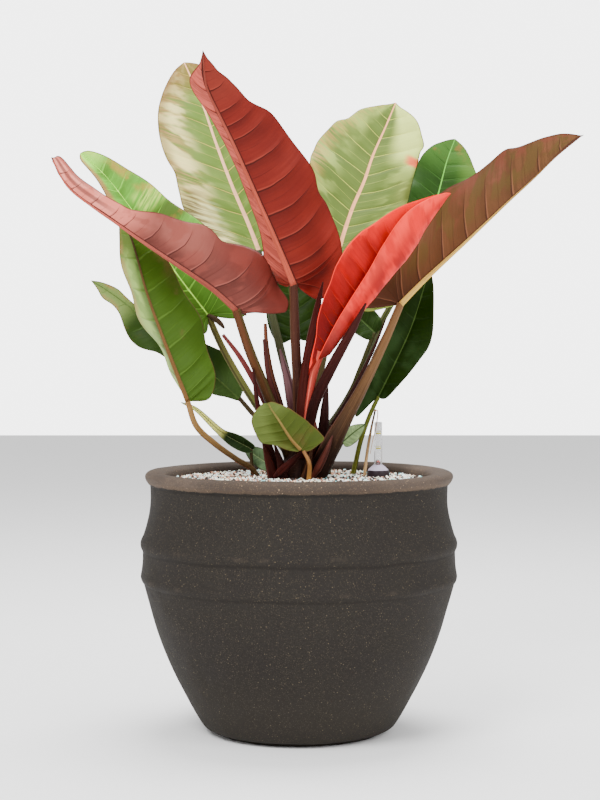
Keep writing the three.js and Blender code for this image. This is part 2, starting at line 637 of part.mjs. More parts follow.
// Sheaths that wrapped young leaves, tapering to a point, and the old scars round the foot of the stem.
const SHEATHS = {
  tall: { path: [[3, 18, 310], [8, -4, 392], [16, -22, 446], [27, -30, 493]], radii: [6, 5, 4.4, 3, 0.7] },
  right_tall: {
    path: [[8, 18, 310], [30, -6, 391], [51, -22, 430], [73, -30, 471]],
    radii: [7, 6, 5.2, 4, 0.8],
  },
  grey: { path: [[-2, 28, 310], [-7, 28, 358], [-14, 22, 394], [-20, 18, 419]], radii: [6, 5, 4.4, 0.8] },
  spike: { path: [[-8, 24, 305], [-23, 16, 361], [-32, 6, 408], [-36, 0, 448]], radii: [4, 2.6, 2.2, 0.7] },
  spike_low: {
    path: [[-10, 20, 305], [-25, 8, 358], [-34, -4, 395], [-38, -10, 431]],
    radii: [4, 2.4, 2, 0.7],
  },
  thin: { path: [[-12, 24, 305], [-41, 14, 366], [-65, 8, 408], [-84, 6, 434]], radii: [3, 1.8, 1.5, 0.7] },
  left: {
    path: [[-22, 20, 280], [-41, 4, 336], [-47, -8, 370], [-50, -16, 397]],
    radii: [6, 3.6, 3.2, 0.8],
  },
  spindle: {
    path: [[12, 24, 290], [26, 20, 328], [29, 14, 358], [31, 10, 388]],
    radii: [6, 6.4, 5.6, 0.8],
  },
  stub: { path: [[12, 16, 296], [19, 2, 329], [14, -6, 350]], radii: [5, 3, 1] },
  thin_right: {
    path: [[14, 28, 300], [51, 20, 358], [81, 12, 417], [96, 6, 454]],
    radii: [3, 2, 1.6, 0.7],
  },
  foot_left: { path: [[-24, 16, 262], [-34, 4, 300], [-40, -2, 318]], radii: [9, 6, 1] },
  foot_front: { path: [[-16, 10, 262], [-10, 2, 293], [1, -4, 312]], radii: [10, 7, 1.2] },
  foot_middle: { path: [[2, 8, 264], [4, -1, 290], [8, -4, 306]], radii: [9, 6, 1.2] },
  foot_right: { path: [[22, 20, 262], [28, 12, 310], [36, 6, 336]], radii: [9, 7, 1.2] },
};

const CROWN_STEM = {
  path: [[0, 26, 254], [0, 24, 284], [0, 22, 312]], radii: [24, 22, 12], sides: 12, steps: 5,
};
const REAR_STEM = {
  path: [[0, 68, 254], [0, 66, 280], [0, 64, 304]], radii: [14, 13, 7], sides: 10, steps: 4,
};
const DRY_STRIP = {
  path: [[73, 44, 258], [75, 44, 290], [81, 44, 329], [86, 46, 352]], radii: [1.4, 1.2, 1, 0.7], sides: 5,
};

function fused(members, grow = 0) {
  return members.map((member) => stalk(member, grow)).reduce((all, next) => all.add(next));
}

// Assembly

const slimmer = (sheath) => ({ sides: 5, steps: 6, ...sheath });
const plantBodies = {
  crown: [CROWN_STEM, ...Object.values(CROWN_STALKS), ...Object.values(SHEATHS).map(slimmer)],
  rear_crown: [REAR_STEM, ...Object.values(REAR_STALKS)],
  dry_strip: [DRY_STRIP],
};
for (const [name, member] of Object.entries(LOOSE_STALKS)) plantBodies[`stalk_${name}`] = [member];

const stalkOf = (name) => CROWN_STALKS[name] ?? REAR_STALKS[name] ?? LOOSE_STALKS[name];
const bodyColour = { crown: COLOURS.sheath, rear_crown: COLOURS.olive, dry_strip: COLOURS.straw };

const potted = new THREE.Group();
const holes = Object.values(plantBodies).map((members) => fused(members, HOLE_CLEARANCE));
const shaftHole = turned([
  [0, SHAFT.foot - SEAT], [SHAFT.outer + HOLE_CLEARANCE, SHAFT.foot - SEAT],
  [SHAFT.outer + HOLE_CLEARANCE, GRANULATE_TOP + 20], [0, GRANULATE_TOP + 20],
], GAUGE.sides, GAUGE.x, GAUGE.y);

function pierced(solid) {
  return largestBody([shaftHole, ...holes].reduce((rest, hole) => rest.subtract(hole), solid));
}

potted.add(piece("planter", planter(), finish(COLOURS.stoneware, 0.9)));
potted.add(piece("substrate", pierced(substrate()), finish(COLOURS.soil, 1)));
potted.add(piece("granulate", pierced(granulate()), finish(COLOURS.gravel, 0.9)));
potted.add(piece("gauge_shaft", gaugeShaft(), finish(COLOURS.gaugeBase, 0.4)));
potted.add(piece("gauge_head", gaugeHead(), finish(COLOURS.clear, 0.1)));
potted.add(piece("gauge_scale", gaugeScale(), finish(COLOURS.bar, 0.5)));
potted.add(piece("gauge_float", gaugeFloat(), finish(COLOURS.floatRed, 0.4)));
for (const [name, members] of Object.entries(plantBodies)) {
  potted.add(piece(name, fused(members), finish(bodyColour[name] ?? COLOURS.tan)));
}
for (const [name, leaf] of Object.entries(LEAVES)) {
  const carrier = stalk(stalkOf(name), BUTT_GAP);
  potted.add(piece(`blade_${name}`, largestBody(blade(leaf).subtract(carrier)), finish(leaf.colour, 0.45)));
}

export default potted;
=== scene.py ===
"""The looks of a potted prince of orange philodendron: its stoneware planter, granulate, water gauge,
stalks and waved leaves with their veins. Tables are in millimetres, and Blender's objects in metres."""
import math

import bpy
import numpy as np
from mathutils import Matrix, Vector


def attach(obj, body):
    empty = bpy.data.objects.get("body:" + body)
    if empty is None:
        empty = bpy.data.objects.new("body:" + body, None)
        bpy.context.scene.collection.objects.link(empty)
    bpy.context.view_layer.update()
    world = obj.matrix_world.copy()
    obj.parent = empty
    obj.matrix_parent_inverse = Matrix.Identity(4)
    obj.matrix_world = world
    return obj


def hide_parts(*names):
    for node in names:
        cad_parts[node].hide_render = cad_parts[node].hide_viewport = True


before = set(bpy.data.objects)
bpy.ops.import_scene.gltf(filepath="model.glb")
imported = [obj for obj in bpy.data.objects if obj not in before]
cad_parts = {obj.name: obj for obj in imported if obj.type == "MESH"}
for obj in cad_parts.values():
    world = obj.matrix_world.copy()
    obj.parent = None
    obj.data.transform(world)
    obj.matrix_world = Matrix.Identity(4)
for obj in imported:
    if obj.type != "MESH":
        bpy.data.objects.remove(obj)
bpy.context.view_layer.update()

MM = 0.001
BODY = "planter"
SEED = 11

# Camera, as the photo sees the plant
CAMERA_PLACE = (0.0011, -2.035, 0.4356)
CAMERA_PITCH = math.atan(65 / 1850)  # the picture's centre is 65 of its pixels above the level line
LENS = 83.25

# The film's tones, 0 to 255, with the light that gives each, and how much it fades strong colours
FILM_TONES = [0, 9, 18, 32, 46, 58, 87, 118, 145, 170, 189, 197, 217, 233, 245]
FILM_LIGHT = [0.0005, 0.005, 0.01, 0.02, 0.035, 0.05, 0.1, 0.18, 0.3, 0.5, 0.8, 1, 2, 4, 8]
FILM_FADING = 0.036

# Studio light
STUDIO_LIGHT = 2.4  # how bright a white surface that faces the camera is
WORLD_SEEN = 5
WORLD_LIGHT = 1.2
LAMP_AIM = (0, 0, 0.4)
LAMPS = {  # name: place, width and power
    "key light": ((-0.9, -1.6, 2.1), 1.2, 68),
    "fill light": ((1.6, -1.5, 1.3), 1.4, 28),
    "top light": ((0.1, 0.5, 2.2), 1.4, 72),
}

# Turned pieces, as radius and height
TURNS = 160
FOOT = [(0, 0), (90, 0), (92, 0.8), (93.5, 2.5)]
BELLY = [(104, 6), (109, 12), (127.6, 45), (143.6, 78), (156.2, 111), (165.6, 144), (170.2, 160)]
LOWER_BAND = [(171.2, 163.8), (173.2, 166.6), (174.4, 170.4), (174.1, 174), (173.3, 178)]
BETWEEN_BANDS = [(173.3, 178), (172.3, 187), (172, 198.6)]
UPPER_BAND = [(172.6, 200), (174.1, 203.4), (174.6, 208), (173.6, 212), (171.4, 216.4)]
SHOULDER = [(168.4, 226), (165, 240), (163.4, 252), (163.5, 266), (163.8, 271.4)]
RIM = [
    (165.8, 273), (168.2, 276.4), (169.5, 280), (169, 283), (166.2, 285.5), (160, 286.6), (152, 285.6),
    (146, 283), (144, 279),
]
INNER_WALL = [(144, 236), (156, 205), (155, 160), (140, 105), (116, 55), (97, 24), (88, 16), (0, 16)]
RIM_FOOT = 273.4  # height where the pale glaze of the rim ends
BAND_HEIGHTS = (171, 208)
# Painted shadow lines in the creases under the two bands and under the rim's lip
GROOVE_SHADOWS = {163.6: 0.35, 199.2: 0.5, RIM_FOOT - 1.6: 0.4}  # height: how dark
RESTING_RADIUS = 91.5  # inside it the foot lies on the ground

# Filling
MOUTH_RADIUS = 143.2
GRANULATE_TOP = 276
STONE_STEP = 3.2
STONE_ROW = 0.866 * STONE_STEP
STONE_SCATTER = 0.8
STONE_LEVEL = (-1.6, 1.2)  # above and below the top of the granulate
STONE_SIZE = (1.15, 1.95)
STONE_SHAPE = (1.12, 0.95, 0.82)
STONE_MOULDS = 6
STONES = {"cream": 0.36, "blue": 0.14, "brown": 0.27, "tan": 0.23}

# Water gauge
GAUGE = (89, 42)
GAUGE_SIDES = 48
BASE_RADIUS = 12.5
GAUGE_BASE = [
    (0, 276.4), (11.9, 276.4), (12.5, 277), (12.6, 280.6), (12.4, 281.2), (12.4, 282.6), (11.8, 283.5),
    (0, 283.7),
]
GAUGE_SHAFT = [(0, 60), (6.6, 60), (7, 60.6), (7, 276.3), (0, 276.3)]
GAUGE_CONE = [
    (11.6, 283.8), (11.2, 284.6), (8.2, 287.4), (5.1, 289.9), (4.4, 291), (4.4, 337.2), (4.1, 337.8),
    (3.6, 338), (0, 338), (0, 336.8), (3, 336.8), (3.3, 336.4), (3.3, 291), (4, 289.2), (7.4, 286.4),
    (9.6, 284.4), (9.8, 283.8), (11.6, 283.8),
]
FROSTED_BELOW = 289.8
SCALE_MARKS = {308.6: 1.5, 325.4: 1.5, 310.9: 0.6, 327.7: 0.6}  # height: thickness
MARK_RADII = (4.7, 5.0)
MARK_SPREAD = 0.6  # radians to each side
MARK_LEAN = 0.02  # radians to the right
FLOAT_TIP = [(0, 286.5), (2, 286.5), (2.2, 286.9), (2.2, 292.6), (2, 293.4), (1.3, 294.1), (0, 294.3)]
ORANGE_ABOVE = 293.2
FLOAT_ROD = [(0, 86), (1.1, 86), (1.1, 286.5), (0, 286.5)]
FLOAT_BODY = [(0, 63.4), (3.9, 63.4), (4.2, 63.8), (4.2, 85), (3, 86.4), (1, 87.2), (0, 87.2)]

# Leaf blades
BLADE_THICKNESS = 0.7
FACING = np.array((0, -1, 0), float)
COLUMNS = 24
LOBE_ROWS = 16
LOBE_VEINS = 2
VEIN_STEPS = [0, 0.05, 0.13, 0.27, 0.42, 0.58, 0.73, 0.87, 0.95]
SHORT_STRETCH = 0.05  # share of the midrib under which two veins have fewer rows between them
PILLOW = 1.1  # how far the blade swells between its veins
CREASE = 0.5  # how far it sinks at a vein
CREASE_WIDTH = 0.06
SMALL_BLADE = 110  # length of midrib under which the relief is halved
NARROW_MARGIN = 30  # width under which the relief fades out
ROLLED_RELIEF = 0.25
RIB_END = 0.985

# What a half blade has where its own table says nothing. fold is in degrees, from midrib foot to tip, and
# curl from midrib to margin. sweep is how far a side vein runs towards the tip for each unit that it runs
# outwards, bow and dip are how it bends, and depth flattens a rolled half.
HALF = {
    "wave": 3, "waves": 3, "curl": -20, "fold": [0], "sweep": 0.45, "bow": 1.2, "dip": 0, "rolled": False,
    "depth": 1,
}


def ovate(width):
    """Half a plain blade's outline."""
    shape = [(-0.03, 0.25), (-0.04, 0.6), (0.1, 0.92), (0.35, 1), (0.6, 0.84), (0.82, 0.46), (0.95, 0.14)]
    return [(along, out * width) for along, out in shape]


# Each blade by its midrib, in space, and its two halves. An edge's points are the share of the midrib's
# length and the distance from the midrib. underside says that the photo shows the blade's back, and rib is
# the midrib's radii.
LEAVES = {
    "front_red": {
        "underside": True, "rib": [3.8, 2.5, 1.6, 0.8],
        "midrib": [
            (-6, -26, 490), (-25, -46, 536), (-46, -66, 584), (-69, -84, 636), (-93, -102, 686),
            (-99, -110, 704), (-99, -118, 729),
        ],
        "left": {
            "edge": [
                (-0.01, 12), (0.01, 34), (0.04, 45), (0.09, 39), (0.13, 31), (0.17, 26), (0.24, 21),
                (0.3, 19), (0.37, 17), (0.44, 15), (0.5, 14), (0.61, 14), (0.73, 14), (0.79, 16),
                (0.84, 21), (0.89, 21), (0.94, 6), (0.97, 2),
            ],
            "fold": [-46, -55, -35], "curl": -25, "sweep": 0.8,
        },
        "right": {
            "edge": [
                (-0.02, 4), (-0.07, 11), (-0.11, 21), (-0.1, 37), (-0.06, 52), (-0.01, 65), (0.08, 72),
                (0.17, 76), (0.22, 76), (0.28, 71), (0.37, 73), (0.48, 68), (0.6, 59), (0.66, 52),
                (0.73, 37), (0.82, 29), (0.93, 14), (0.97, 5),
            ],
            "fold": [-12], "curl": -25, "sweep": 0.15, "bow": 2.0, "dip": 0.05,
        },
    },
    "left_red": {
        "underside": True, "rib": [3.2, 2.2, 1.4, 0.8],
        "midrib": [
            (-68, -34, 462), (-96, -42, 487), (-121, -50, 504), (-167, -62, 535), (-205, -72, 562),
            (-237, -80, 585), (-251, -84, 602), (-260, -86, 622),
        ],
        "left": {
            "edge": [
                (-0.03, 8), (-0.06, 26), (0.05, 44), (0.2, 50), (0.45, 42), (0.7, 24), (0.88, 13),
                (0.96, 5),
            ],
            "fold": [-95, -85], "curl": -10,
        },
        "right": {
            "edge": [
                (-0.03, 2), (-0.07, 13), (-0.14, 29), (-0.17, 37), (-0.15, 49), (-0.09, 55), (-0.02, 61),
                (0.04, 66), (0.1, 68), (0.14, 64), (0.19, 53), (0.24, 54), (0.31, 54), (0.37, 48),
                (0.49, 37), (0.59, 23), (0.65, 20), (0.72, 18), (0.79, 18), (0.87, 16), (0.94, 14),
                (0.99, 9),
            ],
            "fold": [-10], "curl": -25, "sweep": -0.14, "dip": 0.15, "wave": 5, "waves": 4,
        },
    },
    "right_brown": {
        "underside": True, "rib": [3.4, 2.2, 1.3, 0.9, 0.7],
        "midrib": [
            (111, -14, 469), (132, -24, 491), (181, -42, 537), (228, -56, 582), (255, -62, 607),
            (276, -66, 628), (292, -68, 642), (301, -70, 647),
        ],
        "left": {
            "edge": [
                (-0.02, 4), (-0.08, 16), (-0.13, 28), (-0.12, 35), (-0.08, 45), (0, 54), (0.1, 58),
                (0.21, 60), (0.37, 60), (0.46, 57), (0.55, 50), (0.64, 47), (0.73, 45), (0.78, 37),
                (0.86, 27), (0.93, 16), (0.98, 3),
            ],
            "fold": [-8], "curl": -20, "sweep": 0.85,
        },
        "right": {
            "edge": [
                (-0.01, 4), (-0.05, 9), (-0.09, 16), (-0.13, 23), (-0.15, 31), (-0.13, 40), (-0.04, 46),
                (0.08, 48), (0.25, 50), (0.5, 46), (0.72, 34), (0.9, 15), (0.96, 6),
            ],
            "fold": [-142, -104, -95, -90, -85], "curl": -10,
        },
    },
    "new": {
        "underside": False, "rib": [3, 2, 0.8],
        "midrib": [
            (24, -30, 415), (41, -36, 446), (58, -46, 473), (77, -60, 502), (93, -70, 529),
            (117, -82, 560), (152, -90, 582), (159, -91, 584),
        ],
        "left": {
            "edge": [
                (-0.12, 1), (-0.05, 7), (0.06, 14), (0.14, 22), (0.24, 28.5), (0.32, 31.5), (0.41, 37),
                (0.51, 38), (0.59, 33), (0.67, 25), (0.75, 18), (0.84, 10), (0.92, 5), (0.98, 1),
            ],
            "fold": [0], "curl": 25, "wave": 1,
        },
        "right": {
            "edge": [
                (-0.03, 8), (0, 18), (0.07, 29), (0.15, 36), (0.21, 42), (0.3, 48), (0.38, 53), (0.46, 58),
                (0.56, 64), (0.65, 74), (0.73, 80), (0.8, 80), (0.86, 73), (0.92, 54), (0.96, 34),
                (0.99, 14),
            ],
            "fold": [-10], "curl": 215, "wave": 0.2, "rolled": True, "depth": 0.55,
        },
    },
    "pale_left": {
        "underside": False, "rib": [4.5, 3, 0.8],
        "midrib": [
            (-46, 86, 532), (-58, 98, 563), (-77, 112, 607), (-96, 130, 657), (-112, 146, 703),
            (-125, 158, 734), (-136, 166, 758),
        ],
        "left": {
            "edge": [
                (0, 6), (0.04, 23), (0.11, 37), (0.2, 51), (0.27, 60), (0.33, 63), (0.4, 60), (0.49, 57),
                (0.57, 61), (0.64, 62), (0.72, 59), (0.82, 51), (0.89, 40), (0.94, 28), (0.98, 14),
            ],
            "fold": [10], "curl": -20, "sweep": 0.9, "bow": 1.0,
        },
        "right": {
            "edge": [
                (-0.03, 8), (-0.06, 24), (0.06, 44), (0.25, 58), (0.5, 60), (0.7, 50), (0.85, 34),
                (0.95, 16),
            ],
            "fold": [14], "curl": -20, "sweep": 0.4,
        },
    },
    "pale_right": {
        "underside": False, "rib": [4.5, 3, 0.8],
        "midrib": [
            (45, 86, 531), (51, 98, 551), (62, 116, 583), (76, 132, 615), (87, 148, 647), (102, 164, 681),
            (115, 178, 712),
        ],
        "left": {
            "edge": [
                (-0.03, 3), (0.02, 12), (0.09, 25), (0.18, 38), (0.26, 50), (0.34, 61), (0.45, 68),
                (0.56, 68), (0.61, 67), (0.67, 61), (0.73, 55), (0.77, 45), (0.86, 36), (0.93, 19),
                (0.97, 7),
            ],
            "fold": [12], "curl": -18, "sweep": 0.35,
        },
        "right": {
            "edge": [
                (-0.02, 4), (0.06, 16), (0.16, 35), (0.3, 52), (0.45, 63), (0.5, 64), (0.6, 58),
                (0.69, 53), (0.77, 50), (0.82, 51), (0.87, 44), (0.92, 36), (0.95, 28), (0.97, 17),
                (0.98, 8),
            ],
            "fold": [10], "curl": -20, "sweep": 0.8,
        },
    },
    "green_right": {
        "underside": False, "rib": [3, 2, 0.8],
        "midrib": [(140, 105, 531), (162, 132, 599), (174, 148, 641), (184, 158, 667)],
        "left": {
            "edge": [(-0.03, 5), (-0.05, 18), (0.15, 28), (0.4, 32), (0.68, 33), (0.85, 24), (0.95, 10)],
            "fold": [12],
        },
        "right": {
            "edge": [(-0.03, 5), (-0.05, 18), (0.15, 32), (0.45, 42), (0.65, 43), (0.82, 34), (0.94, 18)],
            "fold": [6],
        },
    },
    "green_long": {
        "underside": False, "rib": [3.5, 2.5, 0.8],
        "midrib": [(-103, 58, 458), (-137, 66, 502), (-192, 78, 580), (-223, 84, 619), (-250, 86, 643)],
        "left": {
            "edge": [
                (-0.03, 6), (-0.07, 22), (0.05, 36), (0.25, 42), (0.5, 34), (0.7, 24), (0.88, 15),
                (0.97, 10),
            ],
            "fold": [50, 60],
        },
        "right": {
            "edge": [
                (-0.03, 6), (-0.1, 24), (-0.1, 40), (0.04, 58), (0.22, 64), (0.4, 56), (0.55, 42),
                (0.68, 35), (0.8, 24), (0.92, 15), (0.98, 8),
            ],
            "fold": [14],
        },
    },
    "green_big": {
        "underside": True, "rib": [2.8, 1.9, 1.3, 0.8],
        "midrib": [
            (-122, -10, 363), (-141, -14, 413), (-165, -16, 479), (-182, -16, 539), (-195, -16, 569),
        ],
        "left": {
            "edge": [
                (-0.01, 5), (-0.02, 18), (0.1, 34), (0.3, 44), (0.48, 46), (0.65, 40), (0.82, 26),
                (0.94, 10),
            ],
            "fold": [-78, -55, -35], "sweep": 0.36,
        },
        "right": {
            "edge": [
                (-0.01, 6), (-0.03, 26), (0.06, 42), (0.2, 48), (0.36, 51), (0.55, 44), (0.7, 35),
                (0.85, 20), (0.95, 8),
            ],
            "fold": [-22], "sweep": 0.36,
        },
    },
    "dark_left": {
        "underside": False, "rib": [3, 2, 0.8],
        "midrib": [
            (-68, 80, 362), (-92, 84, 384), (-131, 94, 415), (-170, 104, 447), (-204, 112, 474),
            (-227, 118, 490), (-242, 120, 499),
        ],
        "left": {
            "edge": [
                (0.01, 4), (0.06, 10), (0.12, 18), (0.23, 20), (0.36, 19), (0.47, 21), (0.53, 27),
                (0.58, 30), (0.64, 29), (0.7, 23), (0.76, 15), (0.82, 11), (0.89, 11), (0.95, 5),
                (0.98, 2),
            ],
            "fold": [25],
        },
        "right": {
            "edge": [
                (0.01, 7), (0.03, 14), (0.11, 24), (0.2, 29), (0.27, 26), (0.4, 19), (0.56, 12), (0.69, 7),
                (0.78, 7), (0.85, 9), (0.91, 7), (0.96, 4),
            ],
            "fold": [20],
        },
    },
    "dark_right": {
        "underside": False, "rib": [3, 2, 0.8],
        "midrib": [(89, 34, 367), (105, 36, 399), (127, 42, 447), (147, 50, 511)],
        "left": {
            "edge": [
                (-0.06, 5), (-0.2, 12), (-0.14, 18), (0.05, 23), (0.25, 27), (0.55, 25), (0.8, 14),
                (0.95, 6),
            ],
            "fold": [20],
        },
        "right": {
            "edge": [(-0.01, 4), (0.02, 10), (0.15, 16), (0.35, 24), (0.5, 27), (0.7, 19), (0.9, 9)],
            "fold": [25],
        },
    },
    "dark_back": {
        "underside": False, "rib": [2.5, 0.8],
        "midrib": [(-6, 90, 432), (-12, 112, 488), (-32, 130, 546)],
        "left": {"edge": ovate(30), "fold": [15]},
        "right": {"edge": ovate(32), "fold": [15]},
    },
    "dark_centre": {
        "underside": False, "rib": [2, 0.8],
        "midrib": [(86, 60, 438), (67, 72, 457), (47, 82, 480)],
        "left": {"edge": ovate(16), "fold": [20]},
        "right": {"edge": ovate(18), "fold": [15]},
    },
    "small_front": {
        "underside": True, "rib": [2, 1.4, 0.8],
        "midrib": [
            (2, -34, 311), (-8, -34, 322), (-16, -33, 334), (-23, -31, 345), (-30, -28, 355),
            (-34, -26, 362),
        ],
        "left": {
            "edge": [
                (0.01, 4), (0.15, 11), (0.3, 18), (0.48, 31), (0.68, 32), (0.88, 28), (0.97, 20),
                (1.02, 12), (1.03, 4),
            ],
            "fold": [-10], "wave": 0.5,
        },
        "right": {
            "edge": [
                (-0.07, 2), (-0.12, 8), (-0.14, 17), (-0.14, 29), (0, 30), (0.32, 28), (0.57, 22),
                (0.75, 16), (0.9, 10), (0.98, 5),
            ],
            "fold": [-12], "wave": 0.5, "sweep": 0.3,
        },
    },
    "small_right": {
        "underside": False, "rib": [1.5, 0.8],
        "midrib": [(49, 34, 316), (62, 36, 327), (75, 38, 336)],
        "left": {"edge": ovate(9), "fold": [10], "wave": 1},
        "right": {"edge": ovate(10), "fold": [10], "wave": 1},
    },
    "small_left": {
        "underside": False, "rib": [2, 0.8],
        "midrib": [(-54, 54, 307), (-87, 50, 326), (-117, 46, 353), (-133, 44, 360)],
        "left": {
            "edge": [(-0.03, 3), (0.05, 8), (0.2, 9), (0.38, 6), (0.5, 4.6), (0.8, 3), (0.95, 1.4)],
            "fold": [30], "wave": 1,
        },
        "right": {
            "edge": [(-0.03, 3), (0, 8), (0.12, 10), (0.28, 9), (0.42, 5.6), (0.75, 3.6), (0.95, 1.4)],
            "fold": [50], "wave": 1,
        },
    },
    "low_left": {
        "underside": False, "rib": [1.5, 0.8],
        "midrib": [(-32, 64, 287), (-49, 70, 298), (-64, 76, 308)],
        "left": {"edge": ovate(10), "fold": [20], "wave": 1},
        "right": {"edge": ovate(12), "fold": [20], "wave": 1},
    },
}

# Stalks, sheaths and stems, each as a path and the radii that are spread evenly along it
CROWN_STALKS = {
    "front_red": {
        "path": [(0, 22, 290), (-1, 6, 369), (-4, -10, 430), (-6, -26, 491)],
        "radii": [9, 6.2, 5.6, 5.3, 4.6],
    },
    "left_red": {
        "path": [(-8, 22, 296), (-36, 2, 373), (-54, -18, 419), (-68, -34, 463)],
        "radii": [8, 6.1, 5.6, 5.4, 4.6],
    },
    "right_brown": {
        "path": [
            (8, 24, 262), (21, 16, 284), (41, 4, 325), (67, -4, 373), (92, -10, 425), (111, -14, 470),
        ],
        "radii": [12, 12, 10.4, 7.8, 6.2, 5.2, 4.6, 4.2],
    },
    "new": {
        "path": [(2, 14, 296), (11, -6, 362), (16, -18, 392), (24, -30, 418)],
        "radii": [6, 4.4, 4.2, 4.2],
    },
}

REAR_STALKS = {
    "pale_left": {
        "path": [(-1, 64, 290), (-8, 64, 362), (-21, 70, 419), (-35, 79, 476), (-47, 86, 532)],
        "radii": [6, 5, 4.6, 4.4],
    },
    "pale_right": {
        "path": [(4, 64, 290), (22, 66, 385), (35, 76, 453), (45, 86, 532)],
        "radii": [6, 5, 4.6, 4.2],
    },
    "green_right": {
        "path": [(4, 64, 290), (58, 72, 367), (87, 86, 436), (110, 95, 478), (140, 105, 531)],
        "radii": [5, 4.4, 3.6, 3],
    },
    "green_long": {
        "path": [(-5, 64, 290), (-37, 60, 339), (-61, 58, 376), (-87, 58, 422), (-103, 58, 458)],
        "radii": [5, 4.4, 4, 3.6],
    },
    "dark_left": {
        "path": [(-5, 68, 290), (-36, 70, 328), (-54, 75, 347), (-68, 80, 363)],
        "radii": [4, 3, 2.6],
    },
    "dark_back": {"path": [(0, 66, 290), (-3, 76, 379), (-6, 90, 432)], "radii": [4, 3.4, 3]},
    "dark_centre": {
        "path": [(5, 64, 290), (53, 60, 360), (71, 58, 402), (86, 60, 438)],
        "radii": [4, 3, 2.4],
    },
}

LOOSE_STALKS = {
    "green_big": {
        "path": [
            (-38, 54, 256), (-52, 42, 284), (-70, 28, 297), (-94, 10, 316), (-113, -4, 336),
            (-122, -10, 363),
        ],
        "radii": [3.4, 3.2, 3.2, 3.4, 3],
    },
    "small_front": {
        "path": [(10, -8, 256), (11, -20, 279), (11, -36, 298), (5, -34, 310)],
        "radii": [3, 2.8, 2.4, 2],
    },
    "dark_right": {
        "path": [(56, 76, 256), (63, 66, 284), (70, 52, 317), (80, 40, 347), (89, 34, 367)],
        "radii": [3.2, 2.8, 2.6, 2.4],
    },
    "small_right": {
        "path": [(30, 66, 256), (36, 52, 288), (43, 42, 304), (49, 34, 316)],
        "radii": [2.4, 2, 1.8],
    },
    "small_left": {
        "path": [(-53, 64, 262), (-53, 60, 283), (-54, 57, 296), (-54, 54, 307)],
        "radii": [2.4, 2, 1.8],
    },
    "low_left": {"path": [(-22, 60, 262), (-26, 61, 280), (-32, 64, 287)], "radii": [2, 1.8, 1.5]},
}

SHEATHS = {
    "tall": {
        "path": [
            (3, 12, 300), (3.5, 2, 350), (5, -2, 376), (10, -8, 412), (17, -16, 449), (22, -22, 475),
            (26, -26, 493),
        ],
        "radii": [8, 7.6, 7, 6.4, 6, 5.6, 4, 0.8],
    },
    "right_tall": {
        "path": [
            (8, 10, 320), (17, -8, 361), (32, -26, 394), (46, -41, 421), (58, -55, 443), (71, -68, 469),
        ],
        "radii": [7, 6.8, 6.4, 6.2, 5.6, 4.4, 1.2],
    },
    "grey": {
        "path": [(-3, 26, 310), (-7, 20, 356), (-11, 18, 378), (-16, 16, 399), (-21, 16, 420)],
        "radii": [6, 6.2, 6.6, 6.8, 5.4, 3.4, 1],
    },
    "spike": {
        "path": [(-8, 24, 305), (-22, 14, 361), (-31, 6, 395), (-36, 2, 428), (-37, 0, 448)],
        "radii": [5.4, 5.4, 5, 4.2, 3.4, 2.9, 2.5, 2],
    },
    "spike_low": {
        "path": [(-10, 20, 305), (-27, 8, 366), (-34, -2, 394), (-38, -6, 431)],
        "radii": [5.6, 5.6, 5, 3.9, 3.1, 2.7, 2.1],
    },
    "thin": {
        "path": [(-12, 24, 305), (-42, 14, 370), (-65, 8, 411), (-84, 6, 436)],
        "radii": [4.4, 4, 3.8, 3.4, 3, 2],
    },
    "left": {
        "path": [(-22, 20, 280), (-41, 4, 336), (-47, -8, 370), (-50, -16, 399)],
        "radii": [6, 4.6, 3.9, 3.2, 2.4, 1.2],
    },
    "spindle": {
        "path": [(12, 24, 290), (26, 20, 328), (29, 14, 358), (31, 10, 388)],
        "radii": [6, 6, 6.3, 6, 5, 3, 1],
    },
    "stub": {"path": [(12, 16, 296), (19, 2, 329), (14, -6, 350)], "radii": [5, 3.4, 2.2, 1]},
    "thin_right": {
        "path": [(14, 28, 300), (51, 20, 358), (81, 12, 417), (96, 6, 454)],
        "radii": [3.4, 3, 2.4, 2, 0.8],
    },
    "foot_left": {"path": [(-24, 16, 262), (-34, 4, 300), (-40, -2, 318)], "radii": [9, 7, 5, 1]},
    "foot_inner": {"path": [(-16, 10, 262), (-20, 0, 293), (-27, -4, 316)], "radii": [8, 6, 4, 1]},
    "foot_front": {
        "path": [(-27, 4, 279), (-16, -6, 289), (-6, -11, 299), (5, -12, 308)],
        "radii": [2.4, 4.8, 5.2, 4.6, 3.6, 1.2],
    },
    "foot_middle": {"path": [(4, 8, 264), (10, -1, 292), (14, -4, 312)], "radii": [9, 7, 4, 1.2]},
    "foot_right": {"path": [(22, 20, 262), (28, 12, 310), (36, 6, 336)], "radii": [9, 7, 1.2]},
    "foot_pink": {
        "path": [(15, -3, 279), (21, -10, 290), (29, -10, 306), (37, -5, 325)],
        "radii": [2.6, 4.4, 4.2, 3, 1],
    },
}

CROWN_STEM = {"path": [(0, 26, 254), (0, 24, 284), (0, 22, 312)], "radii": [24, 22, 12]}
REAR_STEM = {"path": [(0, 68, 254), (0, 66, 280), (0, 64, 304)], "radii": [14, 13, 7]}
DRY_STRIP = {"path": [(73, 44, 258), (75, 44, 290), (81, 44, 329), (86, 46, 352)], "radii": [2, 1.9, 1.6, 1]}
DRY_THREAD = {
    "path": [(85, 45, 350), (88, 43, 351), (88, 42, 342), (86, 42, 330), (83, 42, 318), (80, 42, 302)],
    "radii": [0.6, 0.55, 0.5, 0.4, 0.3],
}
DRY_HUSK = {
    "path": [(-103, 56, 458), (-97, 53, 455), (-90, 52, 450), (-84, 52, 443)],
    "radii": [2, 2.8, 3.2, 2.8, 1.2],
}


